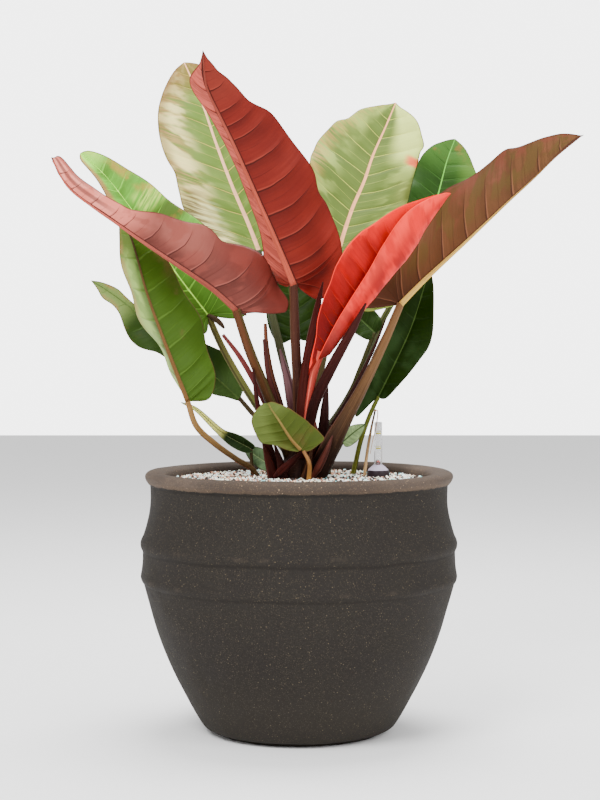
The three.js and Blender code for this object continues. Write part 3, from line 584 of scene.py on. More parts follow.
# Where side veins leave the midrib, as shares of its length
VEINS = {
    "front_red": [0.02, 0.08, 0.195, 0.3, 0.41, 0.523, 0.631, 0.688, 0.747, 0.84, 0.92],
    "left_red": [0.02, 0.135, 0.26, 0.373, 0.49, 0.592, 0.66, 0.75, 0.85, 0.93],
    "right_brown": [0.024, 0.12, 0.25, 0.38, 0.492, 0.629, 0.774, 0.887],
    "new": [0.05, 0.14, 0.24, 0.34, 0.44, 0.55, 0.66, 0.78, 0.89],
    "pale_left": [0.05, 0.18, 0.286, 0.406, 0.527, 0.645, 0.75, 0.84, 0.92],
    "pale_right": [0.05, 0.16, 0.264, 0.379, 0.506, 0.628, 0.757, 0.88],
    "green_right": [0.06, 0.2, 0.34, 0.48, 0.63, 0.76, 0.88],
    "green_long": [0.04, 0.15, 0.27, 0.38, 0.5, 0.62, 0.74, 0.86],
    "green_big": [0.036, 0.132, 0.281, 0.426, 0.581, 0.749, 0.88],
}
SMALL_VEINS = [0.1, 0.27, 0.44, 0.61, 0.78, 0.9]


# Small helpers

def paint(red, green, blue):
    """A colour as the picture shows it, 0 to 255, turned into the paint that gives it in this studio. The
    film's tone curve, its slight fading of strong colours and the brightness of the light are taken out."""
    light = np.exp(np.interp((red, green, blue), FILM_TONES, np.log(FILM_LIGHT)))
    vivid = light * (1 + 3 * FILM_FADING) - light.sum() * FILM_FADING
    return (*(vivid / STUDIO_LIGHT).clip(0.0003, 0.95), 1.0)


def unit(vectors):
    return vectors / np.maximum(np.linalg.norm(vectors, axis=-1, keepdims=True), 1e-12)


def stretch_of(start, stop, leave, arrive, t):
    """Points of a cubic stretch that leaves start and arrives at stop with the slopes given."""
    square = (-3 * start + 3 * stop - 2 * leave - arrive) * t**2
    cube = (2 * start - 2 * stop + leave + arrive) * t**3
    return start + leave * t + square + cube


def spline(points, per_stretch=40):
    """A smooth line through points of any dimension: a centripetal Catmull-Rom spline, sampled."""
    knots = np.array(points, float)
    if len(knots) < 3:
        return knots
    knots = np.vstack([2 * knots[0] - knots[1], knots, 2 * knots[-1] - knots[-2]])
    samples = [knots[1]]
    for a, b, c, d in zip(knots, knots[1:], knots[2:], knots[3:]):
        pairs = ((a, b), (b, c), (c, d))
        first, middle, last = (max(np.linalg.norm(q - p) ** 0.5, 1e-4) for p, q in pairs)
        leave = ((b - a) / first - (c - a) / (first + middle) + (c - b) / middle) * middle
        arrive = ((c - b) / middle - (d - b) / (middle + last) + (d - c) / last) * middle
        steps = range(1, per_stretch + 1)
        samples += [stretch_of(b, c, leave, arrive, step / per_stretch) for step in steps]
    return np.array(samples)


class Line:
    """A smooth line in space, read by share of its length."""

    def __init__(self, points):
        self.samples = spline(points)
        steps = np.linalg.norm(np.diff(self.samples, axis=0), axis=1)
        self.length = steps.sum()
        self.shares = np.concatenate([[0], np.cumsum(steps)]) / self.length
        self.slopes = unit(np.gradient(self.samples, self.shares, axis=0))

    def read(self, table, share):
        return np.stack([np.interp(share, self.shares, table[:, axis]) for axis in range(3)], axis=-1)

    def at(self, share):
        return self.read(self.samples, share)

    def heading(self, share):
        return unit(self.read(self.slopes, share))


def even(values, share):
    """A value read from a list that is spread evenly from 0 to 1."""
    return np.interp(share, np.linspace(0, 1, len(values)), values)


# Modelling helpers

def deselect():
    if bpy.context.object and bpy.context.object.mode != "OBJECT":
        bpy.ops.object.mode_set(mode="OBJECT")
    bpy.ops.object.select_all(action="DESELECT")


def pick(*pieces):
    deselect()
    for piece in pieces:
        piece.select_set(True)
    bpy.context.view_layer.objects.active = pieces[0]


def added(name):
    """The primitive that was just added, named, with its place in its mesh."""
    piece = bpy.context.object
    piece.name = piece.data.name = name
    bpy.ops.object.transform_apply(location=True, rotation=True, scale=True)
    return piece


def tidy_mesh(piece, merge=0.00002, outward=True):
    pick(piece)
    bpy.ops.object.mode_set(mode="EDIT")
    bpy.ops.mesh.select_all(action="SELECT")
    bpy.ops.mesh.remove_doubles(threshold=merge)
    if outward:
        bpy.ops.mesh.normals_make_consistent(inside=False)
    bpy.ops.object.mode_set(mode="OBJECT")
    bpy.ops.object.shade_smooth()


def joined(name, pieces):
    pick(*pieces)
    if len(pieces) > 1:
        bpy.ops.object.join()
    whole = bpy.context.object
    whole.name = whole.data.name = name
    return whole


def modified(piece, kind, **settings):
    pick(piece)
    modifier = piece.modifiers.new(kind.lower(), kind)
    for setting, value in settings.items():
        setattr(modifier, setting, value)
    bpy.ops.object.modifier_apply(modifier=modifier.name)


def turned(name, profile, sides=TURNS, centre=(0, 0), crease=None):
    """A turned piece: a ring is extruded along its profile of radius and height."""
    hub = (centre[0] * MM, centre[1] * MM)
    pole = 0.02
    radius, height = max(profile[0][0], pole), profile[0][1]
    deselect()
    bpy.ops.mesh.primitive_circle_add(vertices=sides, radius=radius * MM, location=(*hub, height * MM))
    piece = added(name)
    bpy.ops.object.mode_set(mode="EDIT")
    bpy.ops.mesh.select_all(action="SELECT")
    for next_radius, next_height in profile[1:]:
        next_radius = max(next_radius, pole)
        rise, growth = (next_height - height) * MM, next_radius / radius
        bpy.ops.mesh.extrude_region_move(TRANSFORM_OT_translate={"value": (0, 0, rise)})
        bpy.ops.transform.resize(value=(growth, growth, 1), center_override=(*hub, next_height * MM))
        radius, height = next_radius, next_height
    tidy_mesh(piece, merge=0.00005)
    if crease:
        pick(piece)
        bpy.ops.object.shade_smooth_by_angle(angle=math.radians(crease))
    return piece


def smoothed(*stretches, per_stretch=3):
    """A profile of smooth stretches that meet in creases."""
    return [tuple(p) for stretch in stretches for p in spline(stretch, per_stretch)]


def surface(name, places, maps):
    """A grid primitive with its points laid at places[row, column], in millimetres, and its UV maps."""
    rows, columns = places.shape[:2]
    deselect()
    spans = {"x_subdivisions": columns - 1, "y_subdivisions": rows - 1}
    bpy.ops.mesh.primitive_grid_add(size=2, calc_uvs=False, **spans)
    piece = added(name)
    mesh = piece.data
    flat = np.empty(3 * len(mesh.vertices))
    mesh.vertices.foreach_get("co", flat)
    column, row = (np.rint((flat[axis::3] + 1) / 2 * (count - 1)).astype(int)
                   for axis, count in ((0, columns), (1, rows)))
    mesh.vertices.foreach_set("co", (places[row, column] * MM).ravel())
    corner = np.empty(len(mesh.loops), int)
    mesh.loops.foreach_get("vertex_index", corner)
    for title, values in maps.items():
        layer = mesh.uv_layers.new(name=title)
        layer.data.foreach_set("uv", values[row, column][corner].ravel())
    mesh.update()
    return piece


def tube(name, path, radii, sides=20, steps=60, section=None, bow=1.0):
    """A tube along a path, closed at both ends. Its UV map holds the share of its length, and how far round
    it a point lies: 0.5 in front, 0.75 on the right. section gives the radius's share at an angle from the
    front, and bow how far the tube reaches to the front and back."""
    line = path if isinstance(path, Line) else Line(path)
    share = np.concatenate([[0], np.linspace(0, 1, steps + 1), [1]])
    radius = even(radii, share)
    radius[[0, -1]] = 0
    angle = np.linspace(-math.pi, math.pi, sides + 1)
    heading = line.heading(share)
    right = unit(np.cross([0, 1, 0], heading))
    front = np.cross(right, heading)
    shape = np.ones_like(angle) if section is None else section(angle)
    reach = radius[:, None, None] * shape[None, :, None]
    ring = (bow * np.cos(angle)[None, :, None] * front[:, None]
            + np.sin(angle)[None, :, None] * right[:, None])
    places = line.at(share)[:, None] + reach * ring
    around = np.broadcast_to(angle / (2 * math.pi) + 0.5, places.shape[:2])
    along = np.broadcast_to(share[:, None], places.shape[:2])
    piece = surface(name, places, {"tube": np.stack([along, around], axis=-1)})
    tidy_mesh(piece)
    return piece


def dress(piece, *materials):
    piece.data.materials.clear()
    for material in materials:
        piece.data.materials.append(material)
    return piece


def place(piece, nodes, slot, body=BODY):
    """Hangs a finished piece on what it rides on, and hides the model's parts that it stands for. slot, its
    finish, is not used.
    """
    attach(piece, body)
    if nodes:
        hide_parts(*nodes)
    return piece


# Shader helpers

class Nodes:
    """Adds nodes to a node tree and links them."""

    def __init__(self, tree):
        self.tree = tree

    def add(self, kind, inputs=None, **settings):
        made = self.tree.nodes.new(kind)
        for setting, value in settings.items():
            setattr(made, setting, value)
        for socket, value in (inputs or {}).items():
            self.join(value, made.inputs[socket])
        return made

    def join(self, value, socket):
        if isinstance(value, bpy.types.NodeSocket):
            self.tree.links.new(value, socket)
        else:
            socket.default_value = value

    def math(self, operation, *values):
        return self.add("ShaderNodeMath", dict(enumerate(values)), operation=operation).outputs[0]

    def times(self, first, second):
        return self.math("MULTIPLY", first, second)

    def plus(self, first, second):
        return self.math("ADD", first, second)

    def minus(self, first, second):
        return self.math("SUBTRACT", first, second)

    def amount(self, value):
        return self.math("ABSOLUTE", value)

    def ramp(self, value, low, high):
        """0 below low and 1 above high, with a smooth step between, or the other way round where low is the
        higher."""
        inputs = {"Value": value, "From Min": low, "From Max": high}
        return self.add("ShaderNodeMapRange", inputs, interpolation_type="SMOOTHSTEP").outputs[0]

    def mix(self, factor, below, above, blend="MIX"):
        inputs = {0: factor, 6: below, 7: above}
        return self.add("ShaderNodeMix", inputs, data_type="RGBA", blend_type=blend).outputs[2]

    def tinted(self, colour, mask, strength, tint):
        """A colour with a tint laid over it, as far as a mask times a strength says."""
        return self.mix(self.times(mask, strength), colour, paint(*tint))

    def noise(self, vector, scale, detail=3.0, roughness=0.55):
        inputs = {"Vector": vector, "Scale": scale, "Detail": detail, "Roughness": roughness}
        return self.add("ShaderNodeTexNoise", inputs).outputs[0]

    def vector(self, *values):
        return self.add("ShaderNodeCombineXYZ", dict(enumerate(values))).outputs[0]

    def moved(self, vector, shift):
        return self.add("ShaderNodeVectorMath", {0: vector, 1: shift}, operation="ADD").outputs[0]

    def split(self, vector):
        return self.add("ShaderNodeSeparateXYZ", {0: vector}).outputs

    def uv(self, title):
        return self.split(self.add("ShaderNodeUVMap", uv_map=title).outputs[0])

    def object_place(self):
        return self.add("ShaderNodeTexCoord").outputs["Object"]


def new_group(title, inputs):
    """A shader node group with named number inputs: a helper for its nodes, and the inputs."""
    tree = bpy.data.node_groups.new(title, "ShaderNodeTree")
    for socket, value in inputs.items():
        made = tree.interface.new_socket(socket, in_out="INPUT", socket_type="NodeSocketFloat")
        made.default_value = value
    nodes = Nodes(tree)
    return nodes, nodes.add("NodeGroupInput").outputs


def finished_group(nodes, **made):
    """The group, with a number output for each value that was made."""
    for socket in made:
        nodes.tree.interface.new_socket(socket, in_out="OUTPUT", socket_type="NodeSocketFloat")
    leave = nodes.add("NodeGroupOutput").inputs
    for socket, value in made.items():
        nodes.join(value, leave[socket])
    return nodes.tree


def leaf_marks_group():
    """Veins, midrib, margin and fine streaks of a blade, with painted shade between the veins and a line next
    to each vein for their painted light and shadow, from its two UV maps. The first, veins, holds the number
    of the nearest vein and the share of the way to the margin. The second, lay, holds the share of the
    midrib's length and the distance from the margin in metres."""
    defaults = {
        "Vein Width": 0.05, "Vein Reach": 0.95, "Rib Width": 0.004, "Rib Tip": 0.0008, "Edge Width": 0.0012,
        "Fine": 9.0,
    }
    nodes, entry = new_group("leaf marks", defaults)
    number, side, _ = nodes.uv("veins")
    along, margin, _ = nodes.uv("lay")
    share = nodes.amount(side)
    wander = nodes.minus(nodes.noise(nodes.vector(number, side, 0), 1.6, 2.0), 0.5)
    number = nodes.math("MULTIPLY_ADD", wander, 0.16, number)
    whole = nodes.math("FRACT", number)
    apart = nodes.amount(nodes.minus(nodes.math("FRACT", nodes.plus(number, 0.5)), 0.5))
    width = nodes.times(entry["Vein Width"], nodes.minus(1.25, share))
    reach = nodes.minus(entry["Vein Reach"], 0.35)
    fade = nodes.ramp(share, entry["Vein Reach"], reach)
    vein = nodes.times(nodes.ramp(apart, width, nodes.times(width, 0.25)), fade)
    # A line next to each vein, on its tip side, for the painted light and shadow of the vein's relief.
    shifted = nodes.math("FRACT", nodes.plus(number, nodes.math("MULTIPLY_ADD", width, -1.1, 0.5)))
    beside = nodes.amount(nodes.minus(shifted, 0.5))
    beside = nodes.times(nodes.ramp(beside, nodes.times(width, 1.3), 0.0), nodes.ramp(share, 0.85, 0.3))
    # Painted shade between the veins, darkest just below each vein on its foot side.
    hollow = nodes.times(nodes.ramp(whole, 0.35, 0.97), nodes.ramp(share, 1.0, 0.55))
    middle = nodes.amount(nodes.minus(whole, 0.5))
    minor = nodes.times(nodes.ramp(middle, nodes.times(width, 0.8), 0.0), nodes.ramp(share, 0.75, 0.35))
    out = nodes.math("DIVIDE", nodes.times(margin, share), nodes.minus(1.001, share))
    taper = nodes.minus(entry["Rib Tip"], entry["Rib Width"])
    rib_width = nodes.math("MULTIPLY_ADD", taper, along, entry["Rib Width"])
    rib = nodes.ramp(out, rib_width, nodes.times(rib_width, 0.75))
    edge = nodes.ramp(margin, entry["Edge Width"], nodes.times(entry["Edge Width"], 0.35))
    streaks = nodes.noise(nodes.vector(nodes.times(number, entry["Fine"]), side, 0), 1.0, 3.0, 0.6)
    streaks = nodes.ramp(streaks, 0.3, 0.7)
    broad = nodes.vector(nodes.times(number, 1.7), nodes.times(side, 1.9), 7.0)
    strokes = nodes.ramp(nodes.noise(broad, 1.0, 2.0, 0.5), 0.3, 0.7)
    fine = nodes.math("MULTIPLY_ADD", streaks, 0.35, nodes.times(minor, 0.5))
    height = nodes.math("MULTIPLY_ADD", vein, 1.2, fine)
    return finished_group(
        nodes, Vein=vein, Beside=beside, Hollow=hollow, Minor=minor, Rib=rib, Edge=edge, Streaks=streaks,
        Strokes=strokes, Share=share, Side=side, Along=along, Height=height,
    )


def stem_marks_group():
    """Long fibres, pale pores and a coloured stripe of a stalk, from its UV map."""
    defaults = {"Stripe At": 0.75, "Stripe Width": 0.08, "Seed": 0.0}
    nodes, entry = new_group("stem marks", defaults)
    along, around, _ = nodes.uv("tube")
    lay = nodes.vector(nodes.times(along, 2.2), nodes.times(around, 34.0), entry["Seed"])
    fibres = nodes.ramp(nodes.noise(lay, 1.0, 3.0, 0.6), 0.32, 0.68)
    lay = nodes.vector(nodes.times(along, 46.0), nodes.times(around, 15.0), entry["Seed"])
    spots = nodes.add("ShaderNodeTexVoronoi", {"Vector": lay, "Scale": 1.0})
    pores = nodes.ramp(spots.outputs["Distance"], 0.26, 0.1)
    apart = nodes.amount(nodes.minus(around, entry["Stripe At"]))
    stripe = nodes.ramp(apart, entry["Stripe Width"], nodes.times(entry["Stripe Width"], 0.3))
    height = nodes.math("MULTIPLY_ADD", pores, 0.5, fibres)
    return finished_group(nodes, Fibres=fibres, Pores=pores, Stripe=stripe, Along=along, Height=height)


def speckle_group():
    """Sparse light grains, dark pits and broad clouds, from the place on the object."""
    defaults = {"Size": 0.0016, "Amount": 0.2, "Seed": 0.0}
    nodes, entry = new_group("speckle", defaults)
    spot = nodes.moved(nodes.object_place(), nodes.vector(entry["Seed"], entry["Seed"], entry["Seed"]))
    scale = nodes.math("DIVIDE", 1.0, entry["Size"])
    cells = nodes.add("ShaderNodeTexVoronoi", {"Vector": spot, "Scale": scale})
    tone, chance, _ = nodes.add("ShaderNodeSeparateColor", {0: cells.outputs["Color"]}).outputs
    picked = nodes.ramp(chance, nodes.minus(1.0, entry["Amount"]), 1.0)
    grains = nodes.times(nodes.ramp(cells.outputs["Distance"], 0.5, 0.2), picked)
    pits = nodes.add("ShaderNodeTexVoronoi", {"Vector": spot, "Scale": nodes.times(scale, 0.7)})
    rare = nodes.add("ShaderNodeSeparateColor", {0: pits.outputs["Color"]}).outputs[1]
    pit = nodes.times(nodes.ramp(pits.outputs["Distance"], 0.42, 0.15), nodes.ramp(rare, 0.8, 0.95))
    clouds = nodes.ramp(nodes.noise(spot, 22.0, 4.0, 0.6), 0.3, 0.7)
    grit = nodes.noise(spot, scale, 3.0, 0.7)
    height = nodes.minus(nodes.math("MULTIPLY_ADD", grit, 0.8, nodes.times(grains, 0.5)), pit)
    return finished_group(nodes, Grains=grains, Pits=pit, Clouds=clouds, Tone=tone, Height=height)


LEAF_MARKS = leaf_marks_group()
STEM_MARKS = stem_marks_group()
SPECKLE = speckle_group()


def new_material(title, shine=0.2):
    """A material with its shader and a helper for its nodes. A shine of 0.5 is that of plain plastic."""
    material = bpy.data.materials.new(title)
    material.use_nodes = True
    shader = material.node_tree.nodes["Principled BSDF"].inputs
    shader["Specular IOR Level"].default_value = shine
    return material, Nodes(material.node_tree), shader


def marks(nodes, group, **inputs):
    """A group's outputs, with its inputs set by their names in small letters."""
    made = nodes.add("ShaderNodeGroup", node_tree=group)
    for socket, value in inputs.items():
        nodes.join(value, made.inputs[socket.replace("_", " ").title()])
    return made.outputs


def bump(nodes, shader, height, distance, strength=0.5):
    inputs = {"Height": height, "Distance": distance, "Strength": strength}
    nodes.join(nodes.add("ShaderNodeBump", inputs).outputs[0], shader["Normal"])


def rough(nodes, shader, value, low, high):
    """Roughness that changes with a mask between two values."""
    nodes.join(nodes.math("MULTIPLY_ADD", value, high - low, low), shader["Roughness"])


# Materials

def leaf_skin(title, base, shade, vein, rib, edge, patches=(), beside=None, mottle=0.6, streak=0.4,
              vein_strength=0.8, hollow=0.35, gloss=0.42, shine=0.08, relief=0.0006, **widths):
    """A blade's skin. shade lies over base in clouds and streaks. A darker copy of shade is painted between
    the veins as painted shade, and a line next to each vein is a painted highlight where its colour is
    lighter than the blade and a painted shadow where it is darker.
    patches are (colour, strength, limits). Each limit is a pair or two of values between which the colour
    sets in. They are values of the share along the midrib, of the side from -1, left, to 1, right, of the
    share of the way out, of the streaks or of the strokes. The limit of spots is their scale and level."""
    material, nodes, shader = new_material(title, shine)
    seen = marks(nodes, LEAF_MARKS, **widths)
    spot = nodes.object_place()
    clouds = nodes.ramp(nodes.noise(spot, 16.0, 3.0), 0.35, 0.65)
    colour = nodes.mix(nodes.times(clouds, 0.6 * mottle), paint(*base), paint(*shade))
    colour = nodes.tinted(colour, seen["Strokes"], 0.7 * mottle, shade)
    colour = nodes.tinted(colour, seen["Streaks"], streak, shade)
    # Painted shade between the veins: a darker copy of the shade colour.
    between_vein_dark = paint(*(0.72 * tone for tone in shade))
    colour = nodes.mix(nodes.times(seen["Hollow"], hollow), colour, between_vein_dark)
    for number, (tint, strength, limits) in enumerate(patches):
        mask = strength
        for source, limit in limits.items():
            if source == "spots":
                scale, level = limit
                moved = nodes.moved(spot, nodes.vector(number * 3.1, number * 1.7, 0))
                held = nodes.ramp(nodes.noise(moved, scale, 4.0, 0.6), level - 0.08, level + 0.08)
                mask = nodes.times(held, mask)
                continue
            for low, high in zip(limit[::2], limit[1::2]):
                mask = nodes.times(nodes.ramp(seen[source.title()], low, high), mask)
        colour = nodes.mix(mask, colour, paint(*tint))
    colour = nodes.tinted(colour, seen["Minor"], 0.35 * vein_strength, vein)
    # Painted light and shadow of each vein's relief, on a line next to the vein.
    if beside:
        colour = nodes.tinted(colour, seen["Beside"], 0.7 * vein_strength, beside)
    colour = nodes.tinted(colour, seen["Vein"], vein_strength, vein)
    colour = nodes.tinted(colour, seen["Edge"], 0.85, edge)
    colour = nodes.mix(seen["Rib"], colour, paint(*rib))
    nodes.join(colour, shader["Base Color"])
    rough(nodes, shader, seen["Streaks"], gloss, gloss + 0.12)
    bump(nodes, shader, seen["Height"], relief)
    return material


def stem_skin(title, low, high, stripe=None, stripe_at=0.75, stripe_width=0.08, pores=0.25, gloss=0.42):
    """A stalk's skin, from its foot's colour to its end's, darker along its fibres, with pale pores and
    maybe a stripe."""
    material, nodes, shader = new_material(title, shine=0.1)
    seen = marks(nodes, STEM_MARKS, stripe_at=stripe_at, stripe_width=stripe_width)
    colour = nodes.mix(nodes.ramp(seen["Along"], 0.12, 1.0), paint(*low), paint(*high))
    if stripe:
        colour = nodes.tinted(colour, seen["Stripe"], 0.8, stripe)
    colour = nodes.mix(nodes.times(seen["Fibres"], 0.6), colour, paint(120, 96, 84), blend="MULTIPLY")
    colour = nodes.tinted(colour, seen["Pores"], pores, (150, 120, 80))
    nodes.join(colour, shader["Base Color"])
    rough(nodes, shader, seen["Fibres"], gloss, gloss + 0.15)
    bump(nodes, shader, seen["Height"], 0.0004)
    return material


def stoneware():
    """Dark speckled clay with a browner rim and inside wall, and worn bands. Painted shadow lies in the
    creases under the bands and the rim's lip and on the front of the rim, and painted shade on the back of
    the inside wall.
    """
    material, nodes, shader = new_material("stoneware", shine=0.1)
    seen = marks(nodes, SPECKLE, size=0.001, amount=0.4)
    coarse = marks(nodes, SPECKLE, size=0.0015, amount=0.06, seed=3.0)
    spot = nodes.object_place()
    x, y, z = nodes.split(spot)
    radius = nodes.math("SQRT", nodes.plus(nodes.times(x, x), nodes.times(y, y)))
    ragged = nodes.times(nodes.minus(nodes.noise(spot, 90.0, 3.0), 0.5), 0.005)
    height = nodes.plus(z, ragged)
    rim = nodes.ramp(height, (RIM_FOOT - 0.7) * MM, (RIM_FOOT + 0.7) * MM)
    inside = nodes.times(nodes.ramp(radius, 0.158, 0.154), nodes.ramp(z, 0.2, 0.21))
    rim = nodes.math("MAXIMUM", rim, inside)
    body = nodes.mix(seen["Clouds"], paint(55, 50, 46), paint(62, 57, 52))
    body = nodes.tinted(body, seen["Tone"], 0.5, (40, 36, 33))
    body = nodes.tinted(body, nodes.ramp(z, 0.1, 0.02), 0.4, (80, 74, 66))
    body = nodes.tinted(body, seen["Grains"], 0.55, (132, 120, 98))
    body = nodes.tinted(body, coarse["Grains"], 0.6, (158, 146, 122))
    body = nodes.tinted(body, seen["Pits"], 0.6, (30, 27, 24))
    glaze = nodes.mix(seen["Clouds"], paint(112, 99, 89), paint(132, 117, 105))
    low = nodes.ramp(height, (RIM_FOOT + 6) * MM, (RIM_FOOT + 1) * MM)
    glaze = nodes.tinted(glaze, low, 0.6, (132, 112, 92))
    aside = nodes.amount(nodes.plus(x, 0.02))
    shadowed = nodes.times(nodes.ramp(y, -0.12, -0.162), nodes.ramp(aside, 0.17, 0.09))
    glaze = nodes.tinted(glaze, shadowed, 0.55, (80, 69, 59))
    glaze = nodes.tinted(glaze, seen["Tone"], 0.4, (86, 75, 66))
    glaze = nodes.tinted(glaze, seen["Grains"], 0.5, (176, 158, 132))
    glaze = nodes.tinted(glaze, coarse["Grains"], 0.6, (200, 188, 170))
    # Painted shade on the back of the inside wall.
    rear = nodes.times(inside, nodes.ramp(y, 0.06, 0.12))
    glaze = nodes.tinted(glaze, rear, 0.7, (66, 54, 47))
    colour = nodes.mix(rim, body, glaze)
    for level in BAND_HEIGHTS:
        near = nodes.ramp(nodes.amount(nodes.minus(height, level * MM)), 0.0035, 0.0008)
        worn = nodes.times(near, nodes.ramp(nodes.noise(spot, 45.0, 4.0, 0.7), 0.52, 0.66))
        colour = nodes.tinted(colour, worn, 0.2, (118, 104, 90))
    # Painted shadow lines in the creases under the bands and the lip.
    for level, depth in GROOVE_SHADOWS.items():
        wobble = nodes.math("MULTIPLY_ADD", nodes.minus(nodes.noise(spot, 14.0, 3.0), 0.5), 0.006, z)
        near = nodes.ramp(nodes.amount(nodes.minus(wobble, level * MM)), 0.0026, 0.0004)
        colour = nodes.tinted(colour, near, depth, (38, 34, 31))
    nodes.join(colour, shader["Base Color"])
    rough(nodes, shader, seen["Clouds"], 0.72, 0.86)
    bump(nodes, shader, nodes.plus(seen["Height"], coarse["Grains"]), 0.0004, 0.5)
    return material


def stone(title, first, second):
    """One kind of the granulate's stones."""
    material, nodes, shader = new_material(title)
    seen = marks(nodes, SPECKLE, size=0.0011, amount=0.25)
    tone = nodes.ramp(nodes.noise(nodes.object_place(), 180.0, 2.0), 0.35, 0.65)
    colour = nodes.mix(tone, paint(*first), paint(*second))
    colour = nodes.tinted(colour, seen["Pits"], 0.5, (96, 84, 76))
    nodes.join(colour, shader["Base Color"])
    rough(nodes, shader, seen["Tone"], 0.7, 0.9)
    bump(nodes, shader, seen["Height"], 0.0003, 0.4)
    return material


def soil(title, dark, light):
    """Loose ground between two tones."""
    material, nodes, shader = new_material(title)
    seen = marks(nodes, SPECKLE, size=0.003, amount=0.4)
    colour = nodes.mix(seen["Clouds"], paint(*dark), paint(*light))
    colour = nodes.tinted(colour, seen["Grains"], 0.6, (120, 104, 90))
    nodes.join(colour, shader["Base Color"])
    rough(nodes, shader, seen["Tone"], 0.85, 1.0)
    bump(nodes, shader, seen["Height"], 0.002, 0.7)
    return material


def clear_plastic(title, clear, tint, gloss):
    """Plastic that lets the share clear of the light through."""
    material, nodes, shader = new_material(title, shine=0.5)
    seen = marks(nodes, SPECKLE, size=0.004, amount=0.1)
    shader["Base Color"].default_value = paint(*tint)
    shader["Transmission Weight"].default_value = clear
    shader["IOR"].default_value = 1.16
    rough(nodes, shader, seen["Clouds"], gloss, gloss + 0.04)
    return material


def plastic(title, first, second, gloss=0.3, shine=0.4):
    """Moulded plastic between two tones."""
    material, nodes, shader = new_material(title, shine)
    seen = marks(nodes, SPECKLE, size=0.0022, amount=0.2)
    nodes.join(nodes.mix(seen["Clouds"], paint(*first), paint(*second)), shader["Base Color"])
    rough(nodes, shader, seen["Tone"], gloss, gloss + 0.12)
    bump(nodes, shader, seen["Height"], 0.0001, 0.2)
    return material


# Planter

def make_planter():
    profile = smoothed(FOOT, [FOOT[-1], *BELLY], per_stretch=5)
    profile += smoothed(LOWER_BAND, BETWEEN_BANDS, UPPER_BAND, SHOULDER, RIM)
    profile += smoothed(INNER_WALL[:-2], per_stretch=4) + INNER_WALL[-2:]
    piece = turned("planter_stoneware", profile, crease=50)
    uneven = bpy.data.textures.new("uneven clay", "CLOUDS")
    uneven.noise_scale = 0.06
    modified(piece, "DISPLACE", texture=uneven, texture_coords="LOCAL", strength=0.0012, mid_level=0.62)
    keep_on_the_ground(piece)
    dress(piece, stoneware())
    place(piece, ["planter"], "stoneware")


def keep_on_the_ground(piece):
    """Levels the points that would reach below the surface that the planter stands on."""
    flat = np.empty(3 * len(piece.data.vertices))
    piece.data.vertices.foreach_get("co", flat)
    foot = flat[2::3] < 1.2 * MM
    resting = np.hypot(flat[0::3], flat[1::3])[foot] < RESTING_RADIUS * MM
    flat[2::3][foot] = np.where(resting, 0, flat[2::3][foot].clip(0))
    piece.data.vertices.foreach_set("co", flat)
    piece.data.update()


# Filling

def stone_mould(generator):
    """One crushed stone, about 1 mm in radius: its points and its triangles."""
    deselect()
    bpy.ops.mesh.primitive_ico_sphere_add(subdivisions=1, radius=1)
    mould = added("mould")
    bpy.ops.object.mode_set(mode="EDIT")
    bpy.ops.mesh.select_all(action="SELECT")
    seed = int(generator.integers(1, 1000))
    bpy.ops.transform.vertex_random(offset=0.3, uniform=1.0, normal=0.0, seed=seed)
    bpy.ops.transform.resize(value=STONE_SHAPE, center_override=(0, 0, 0))
    bpy.ops.object.mode_set(mode="OBJECT")
    points = np.array([vertex.co for vertex in mould.data.vertices])
    faces = np.array([face.vertices for face in mould.data.polygons])
    bpy.data.objects.remove(mould)
    return points, faces


def turned_at_random(generator):
    """A random turn, as a matrix."""
    matrix, _ = np.linalg.qr(generator.normal(size=(3, 3)))
    return matrix * np.sign(np.linalg.det(matrix))


def scattered_stones(generator):
    """The kind, points and faces of each stone that stays clear of the wall and of what stands in the
    granulate."""
    moulds = [stone_mould(generator) for _ in range(STONE_MOULDS)]
    clear = standing_places()
    rows = int(MOUTH_RADIUS / STONE_ROW) + 1
    for row in range(-rows, rows + 1):
        for column in range(-rows - 2, rows + 3):
            x = (column + 0.5 * (row % 2)) * STONE_STEP + generator.uniform(-STONE_SCATTER, STONE_SCATTER)
            y = row * STONE_ROW + generator.uniform(-STONE_SCATTER, STONE_SCATTER)
            size = generator.uniform(*STONE_SIZE)
            kind = generator.choice(list(STONES), p=list(STONES.values()))
            mould = generator.integers(len(moulds))
            turn = turned_at_random(generator)
            level = GRANULATE_TOP + generator.uniform(*STONE_LEVEL)
            if math.hypot(x, y) > MOUTH_RADIUS - size - 0.2:
                continue
            if any(math.hypot(x - a, y - b) < radius + 0.75 * size for a, b, radius in clear):
                continue
            points, faces = moulds[mould]
            yield kind, points @ turn.T * size + (x, y, level), faces


def make_stones():
    """The granulate's stones, in a heap for each colour."""
    heaps = {kind: ([], []) for kind in STONES}
    for kind, points, faces in scattered_stones(np.random.default_rng(SEED)):
        held, cut = heaps[kind]
        cut.append(faces + len(held) * len(points))
        held.append(points)
    looks = {
        "cream": stone("cream stone", (250, 246, 242), (232, 224, 214)),
        "blue": stone("pale blue stone", (226, 242, 248), (198, 222, 232)),
        "brown": stone("brown stone", (104, 84, 80), (62, 48, 46)),
        "tan": stone("tan stone", (224, 204, 192), (186, 162, 150)),
    }
    for kind, (held, cut) in heaps.items():
        mesh = bpy.data.meshes.new(f"stones_{kind}")
        mesh.from_pydata((np.vstack(held) * MM).tolist(), [], np.vstack(cut).tolist())
        heap = bpy.data.objects.new(f"stones_{kind}", mesh)
        bpy.context.scene.collection.objects.link(heap)
        dress(heap, looks[kind])
        place(heap, [], "granulate")


